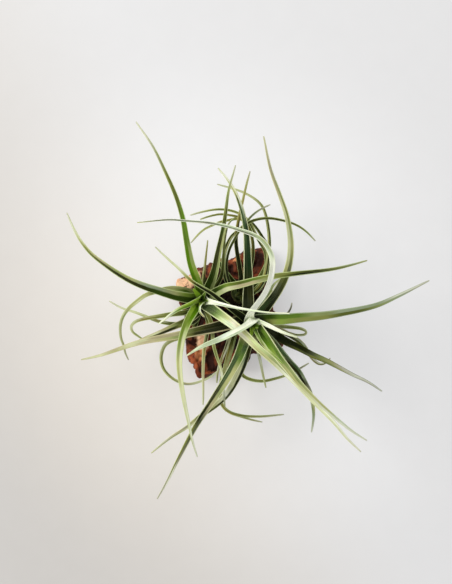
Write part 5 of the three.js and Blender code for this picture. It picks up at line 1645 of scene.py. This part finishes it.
@dataclass
class Bark:
    """Builds and dresses the chunk of bark: flat below, rough plates on its sides and top.

    Args:
        material: its finish.
        around: how many vertices it has round it.
        climbs: how many rings it has from its underside to its top.
        seed: what its plates are drawn from.
        plates: the middle of each plate, and how far it stands out in mm.
        ways: how far each of its rings is from the middle of the underside, in mm along its side.
    """

    material: bpy.types.Material
    around: int = 300
    climbs: int = 110
    seed: int = 11
    plates: list[tuple[Vector, float]] = field(init=False, default_factory=list)
    ways: list[float] = field(init=False, default_factory=lambda: [0.0])

    VALUES = ("crack", "rim", "patched")
    CRACK_WANDER = (0.8, 4)     # mm that cracks stray, and over what distance
    CRACK_POWER = 1.5           # how steep their sides are
    FLAKE_SIZE = 6.5            # mm across the flakes that plates are made of
    FLAKE_MIX = 7.3             # what tells one flake's height from the next
    FLAKE_LIFT = 0.9            # mm that flakes stand out at most
    FLAKE_GAP = (0.16, 0.9)     # the width of the gaps between them, in flakes, and their depth in mm
    LEDGE_SIZE = (22, 22, 2.4)  # mm over which ledges change
    LEDGE_LIFT = 0.7
    ROUGH_SIZE = 3.2            # mm over which the fine roughness changes
    ROUGH_LAYERS = (0.8, 2.1, 5)  # how its layers fade, how much finer each is, and how many there are
    ROUGH_LIFT = 0.4
    RIM_PLACE = 0.8             # where a plate's rim is, in widths of a crack
    RIM_WIDTH = 1.8             # mm
    GAP_DARKNESS = 0.55         # how much painted shade the gaps between flakes get, against cracks
    ROUGH_DARKNESS = 0.25       # the same for the hollows of the fine roughness
    UNDERSIDE = 0.12            # the share of the height below which the relief fades

    def __post_init__(self) -> None:
        """Draws the plates and measures the way up the bark."""
        state = self.seed
        draws = []
        for _ in range(4 * PLATE_COUNT):
            state = (state * DRAW_FACTOR + DRAW_STEP) % DRAW_RANGE
            draws.append(state / DRAW_RANGE)
        for k in range(PLATE_COUNT):
            x, y, z, lift = draws[4 * k:4 * k + 4]
            centre = Vector((mix(-BARK_REACH[0], BARK_REACH[0], x), mix(-BARK_REACH[1], BARK_REACH[1], y),
                             BARK_HEIGHT * z))
            self.plates.append((centre, mix(-PLATE_LIFT, PLATE_LIFT, lift)))
        for (share0, level0), (share1, level1) in zip(BARK_RINGS, BARK_RINGS[1:]):
            step = math.hypot((share1 - share0) * BARK_REACH[0], (level1 - level0) * BARK_HEIGHT)
            self.ways.append(self.ways[-1] + step)

    def ring_at(self, climb: float) -> tuple[float, float]:
        """The share of the outline and of the height, at a share of the way from underside to top.

        Args:
            climb: from 0 to 1.

        Returns:
            Both shares.
        """
        way = climb * self.ways[-1]
        k = min(len(self.ways) - 1, max(1, bisect_left(self.ways, way)))
        share = (way - self.ways[k - 1]) / (self.ways[k] - self.ways[k - 1])
        (share0, level0), (share1, level1) = BARK_RINGS[k - 1], BARK_RINGS[k]
        return mix(share0, share1, share), mix(level0, level1, share)

    @staticmethod
    def rim_at(turn: float) -> Vector:
        """A point of the smooth closed outline, at a share of the way round it."""
        count = len(BARK_OUTLINE)
        place = (turn % 1) * count
        k, share = int(place), place % 1
        before, start, end, after = (
            Vector(BARK_OUTLINE[(k + step) % count]).to_3d() for step in (-1, 0, 1, 2))
        return bend(start, (end - before) * BARK_TENSION, end, (after - start) * BARK_TENSION, share)

    def relief(self, point: Vector) -> tuple[float, float, float]:
        """How far the bark's surface stands out at a point.

        Args:
            point: a point of the smooth lump.

        Returns:
            The lift in mm, how much painted shade it gets in cracks, gaps between flakes and hollows,
            and how near a plate's rim it is, both from 0 to 1.
        """
        (nearest, plate_lift), (second, _) = sorted(
            ((centre - point).length, lift) for centre, lift in self.plates)[:2]
        stray, stray_size = self.CRACK_WANDER
        between = second - nearest + stray * noise.noise(point / stray_size)
        crack = max(0.0, 1 - between / CRACK_WIDTH) ** self.CRACK_POWER
        distances, sites = noise.voronoi(point / self.FLAKE_SIZE)
        flake = noise.cell(sites[0] * self.FLAKE_MIX)
        gap_width, gap_depth = self.FLAKE_GAP
        gap = 1 - ease(0.0, gap_width, distances[1] - distances[0])
        ledge = noise.noise(Vector(place / size for place, size in zip(point, self.LEDGE_SIZE)))
        rough = noise.fractal(point / self.ROUGH_SIZE, *self.ROUGH_LAYERS)
        lift = (plate_lift - CRACK_DEPTH * crack + self.FLAKE_LIFT * flake - gap_depth * gap
                + self.LEDGE_LIFT * ledge + self.ROUGH_LIFT * rough)
        depth = min(1.0, crack + self.GAP_DARKNESS * gap + self.ROUGH_DARKNESS * max(0.0, -rough))
        rim = math.exp(-((between - CRACK_WIDTH * self.RIM_PLACE) / self.RIM_WIDTH) ** 2)
        return lift, depth, rim

    def patch_at(self, point: Vector) -> tuple[float, Colour]:
        """The patch that a point belongs to most.

        Args:
            point: a point of the smooth lump.

        Returns:
            How much it does, from 0 to 1, and the patch's colour.
        """
        best = max(BARK_PATCHES, key=lambda patch: patch.share(point))
        return best.share(point), best.hue.linear

    def build(self) -> None:
        """Builds the chunk."""
        bm = bmesh.new()
        layers = [bm.verts.layers.float.new(name) for name in self.VALUES]
        patch_layer = bm.verts.layers.float_color.new("patch")
        bmesh.ops.create_uvsphere(bm, u_segments=self.around, v_segments=self.climbs, radius=1)
        for vert in bm.verts:
            climb = 1 - math.acos(max(-1.0, min(1.0, vert.co.z))) / math.pi
            share, level = self.ring_at(climb)
            rim = self.rim_at(math.atan2(vert.co.y, vert.co.x) / (2 * math.pi))
            point = Vector((rim.x * share, rim.y * share, level * BARK_HEIGHT))
            lift, depth, edge = self.relief(point)
            top = 1 - ease(BARK_SHOULDER[1], BARK_SHOULDER[0], share)
            above = ease(0.0, self.UNDERSIDE, level)
            patched, hue = self.patch_at(point)
            for layer, value in zip(layers, (depth, edge, patched)):
                vert[layer] = value
            vert[patch_layer] = (*hue, 1)
            moved = point + (rim.normalized() * (1 - top) + UP * top) * lift * above
            moved.z = max(0.0, moved.z)
            vert.co = moved
        Piece("bark_chunk_plates", self.material, "bark", ("bark_chunk",), subdivisions=0).make(bm)


# Studio


@dataclass(frozen=True)
class Softbox:
    """A large soft light that looks at the plant.

    Args:
        name: the light's name.
        place: its middle in metres.
        size: the length of its sides in metres.
        power: in watts.
        tint: its linear colour.
    """

    name: str
    place: Point
    size: float
    power: float
    tint: Colour

    def build(self) -> None:
        """Adds the light."""
        light = bpy.data.lights.new(self.name, "AREA")
        light.shape, light.size, light.energy, light.color = "SQUARE", self.size, self.power, self.tint
        box = bpy.data.objects.new(self.name, light)
        box.location = self.place
        box.rotation_euler = (-Vector(self.place)).to_track_quat("-Z", "Y").to_euler()
        bpy.context.scene.collection.objects.link(box)


@dataclass(frozen=True)
class Studio:
    """A pale floor that glows a little, soft light and a camera straight above.

    Args:
        floor_size: the length of the floor's sides in metres.
        floor_tint: its colour.
        grain_scale: how many grains lie in a metre of it.
        grain_share: how much paler they make it.
        painted_glow_cool: the colour that it glows in, as painted light.
        painted_glow_warm: the same far down on the left.
        warm_way: the way in which it glows warmer.
        warm_range: how far out on that way, in metres, it starts and ends getting warmer.
        warm_dimming: how much less it glows where it is warm.
        far_range: the distances in metres between which it glows less.
        far_dimming: how much weaker.
        sky_tint: the colour of the light from all round.
        sky_strength: how strong that is.
        image_height: pixels, the long side of the picture.
        sensor: the camera's sensor in mm.
        softboxes: the lights.
    """

    floor_size: float = 12.0
    floor_tint: Colour = colour(176, 176, 176)
    grain_scale: float = 60.0
    grain_share: float = 0.03
    painted_glow_cool: Colour = colour(164, 164, 165)
    painted_glow_warm: Colour = colour(162, 139, 96)
    warm_way: Point = (-1.0, -0.55, 0.0)
    warm_range: tuple[float, float] = (-0.06, 0.3)
    warm_dimming: float = 0.48
    far_range: tuple[float, float] = (0.06, 0.24)
    far_dimming: float = 0.35
    sky_tint: Colour = colour(240, 240, 242)
    sky_strength: float = 0.62
    image_height: int = 584
    sensor: float = 36.0
    softboxes: tuple[Softbox, ...] = (
        Softbox("window", (-1.6, 0.4, 1.6), 1.2, 46, (1.0, 0.98, 0.95)),
        Softbox("top_light", (0.1, 1.3, 1.9), 1.2, 12, (1.0, 1.0, 1.0)),
    )

    def build(self) -> None:
        """Adds the floor, the lights and the camera."""
        self.build_floor()
        for softbox in self.softboxes:
            softbox.build()
        world = bpy.data.worlds.new("studio")
        world.use_nodes = True
        background = world.node_tree.nodes["Background"]
        background.inputs["Color"].default_value = (*self.sky_tint, 1)
        background.inputs["Strength"].default_value = self.sky_strength
        scene = bpy.context.scene
        scene.world = world
        scene.view_settings.view_transform = "Standard"
        self.build_camera()

    def build_floor(self) -> None:
        """Adds the floor that the bark stands on."""
        bm = bmesh.new()
        bmesh.ops.create_grid(bm, x_segments=8, y_segments=8, size=self.floor_size / 2)
        mesh = bpy.data.meshes.new("floor")
        bm.to_mesh(mesh)
        bm.free()
        shader = Shader("floor")
        place = shader.object_place(1)
        grain = shader.noise(shader.object_place(self.grain_scale), detail=2.0)
        # Painted light: the floor glows most round the plant, which lightens the plant's shadow, and less
        # and warmer down on the left.
        slant = shader.node(
            "ShaderNodeVectorMath", {"operation": "DOT_PRODUCT"}, {0: place, 1: self.warm_way}, output=1)
        away = shader.node("ShaderNodeVectorMath", {"operation": "LENGTH"}, {0: place}, output=1)
        warmth = slant.step(*self.warm_range)
        dimming = self.far_dimming * away.step(*self.far_range) + self.warm_dimming * warmth
        painted_glow = shader.scaled(shader.blend(warmth, self.painted_glow_cool, self.painted_glow_warm), 1.0 - dimming)
        mottled = shader.blend(self.grain_share * grain, self.floor_tint, (1.0, 1.0, 1.0))
        shader.set(Base_Color=mottled, Roughness=0.85,
                   Emission_Color=painted_glow, Emission_Strength=1.0, Specular_IOR_Level=0.1)
        mesh.materials.append(shader.material)
        floor = bpy.data.objects.new("floor", mesh)
        bpy.context.scene.collection.objects.link(floor)

    def build_camera(self) -> None:
        """Adds the camera: it looks straight down, with the plan's up at the top of the picture."""
        camera = bpy.data.cameras.new("camera")
        camera.sensor_width = self.sensor
        camera.lens = self.sensor * SIGHT_HEIGHT / (self.image_height * PLAN_STEP)
        holder = bpy.data.objects.new("camera", camera)
        holder.location = (SIGHT_AXIS[0] * PLAN_STEP * MM, SIGHT_AXIS[1] * PLAN_STEP * MM,
                           (SIGHT_HEIGHT + ROUTE_LEVEL) * MM)
        bpy.context.scene.collection.objects.link(holder)
        bpy.context.scene.camera = holder


# The heart and silver leaves glow a little by themselves: painted light that lifts their shade.
LEAF_FINISHES = {
    Tone.HEART: LeafFinish(coat=0.012, roughness=0.42, depth=0.88, painted_glow=0.03, sheath_reach=3.0),
    Tone.GREEN: LeafFinish(coat=0.015, roughness=0.48, depth=0.76),
    Tone.SILVER: LeafFinish(coat=0.3, roughness=0.6, gloss=0.15, painted_glow=0.15),
    Tone.OLIVE: LeafFinish(coat=0.015, roughness=0.52, depth=0.76),
}


def main() -> None:
    """Builds the plant and the studio round it."""
    logging.basicConfig(level=logging.INFO, format="%(message)s", force=True)
    Bark(BarkFinish().build()).build()
    leaf_materials = {tone: finish.build(tone.value) for tone, finish in LEAF_FINISHES.items()}
    stem_material = SheathFinish().build()
    draw = random.Random(7)
    for head in HEADS:
        HeadPieces(head, leaf_materials, stem_material, draw).build()
    Studio().build()


if __name__ == "__main__":
    main()
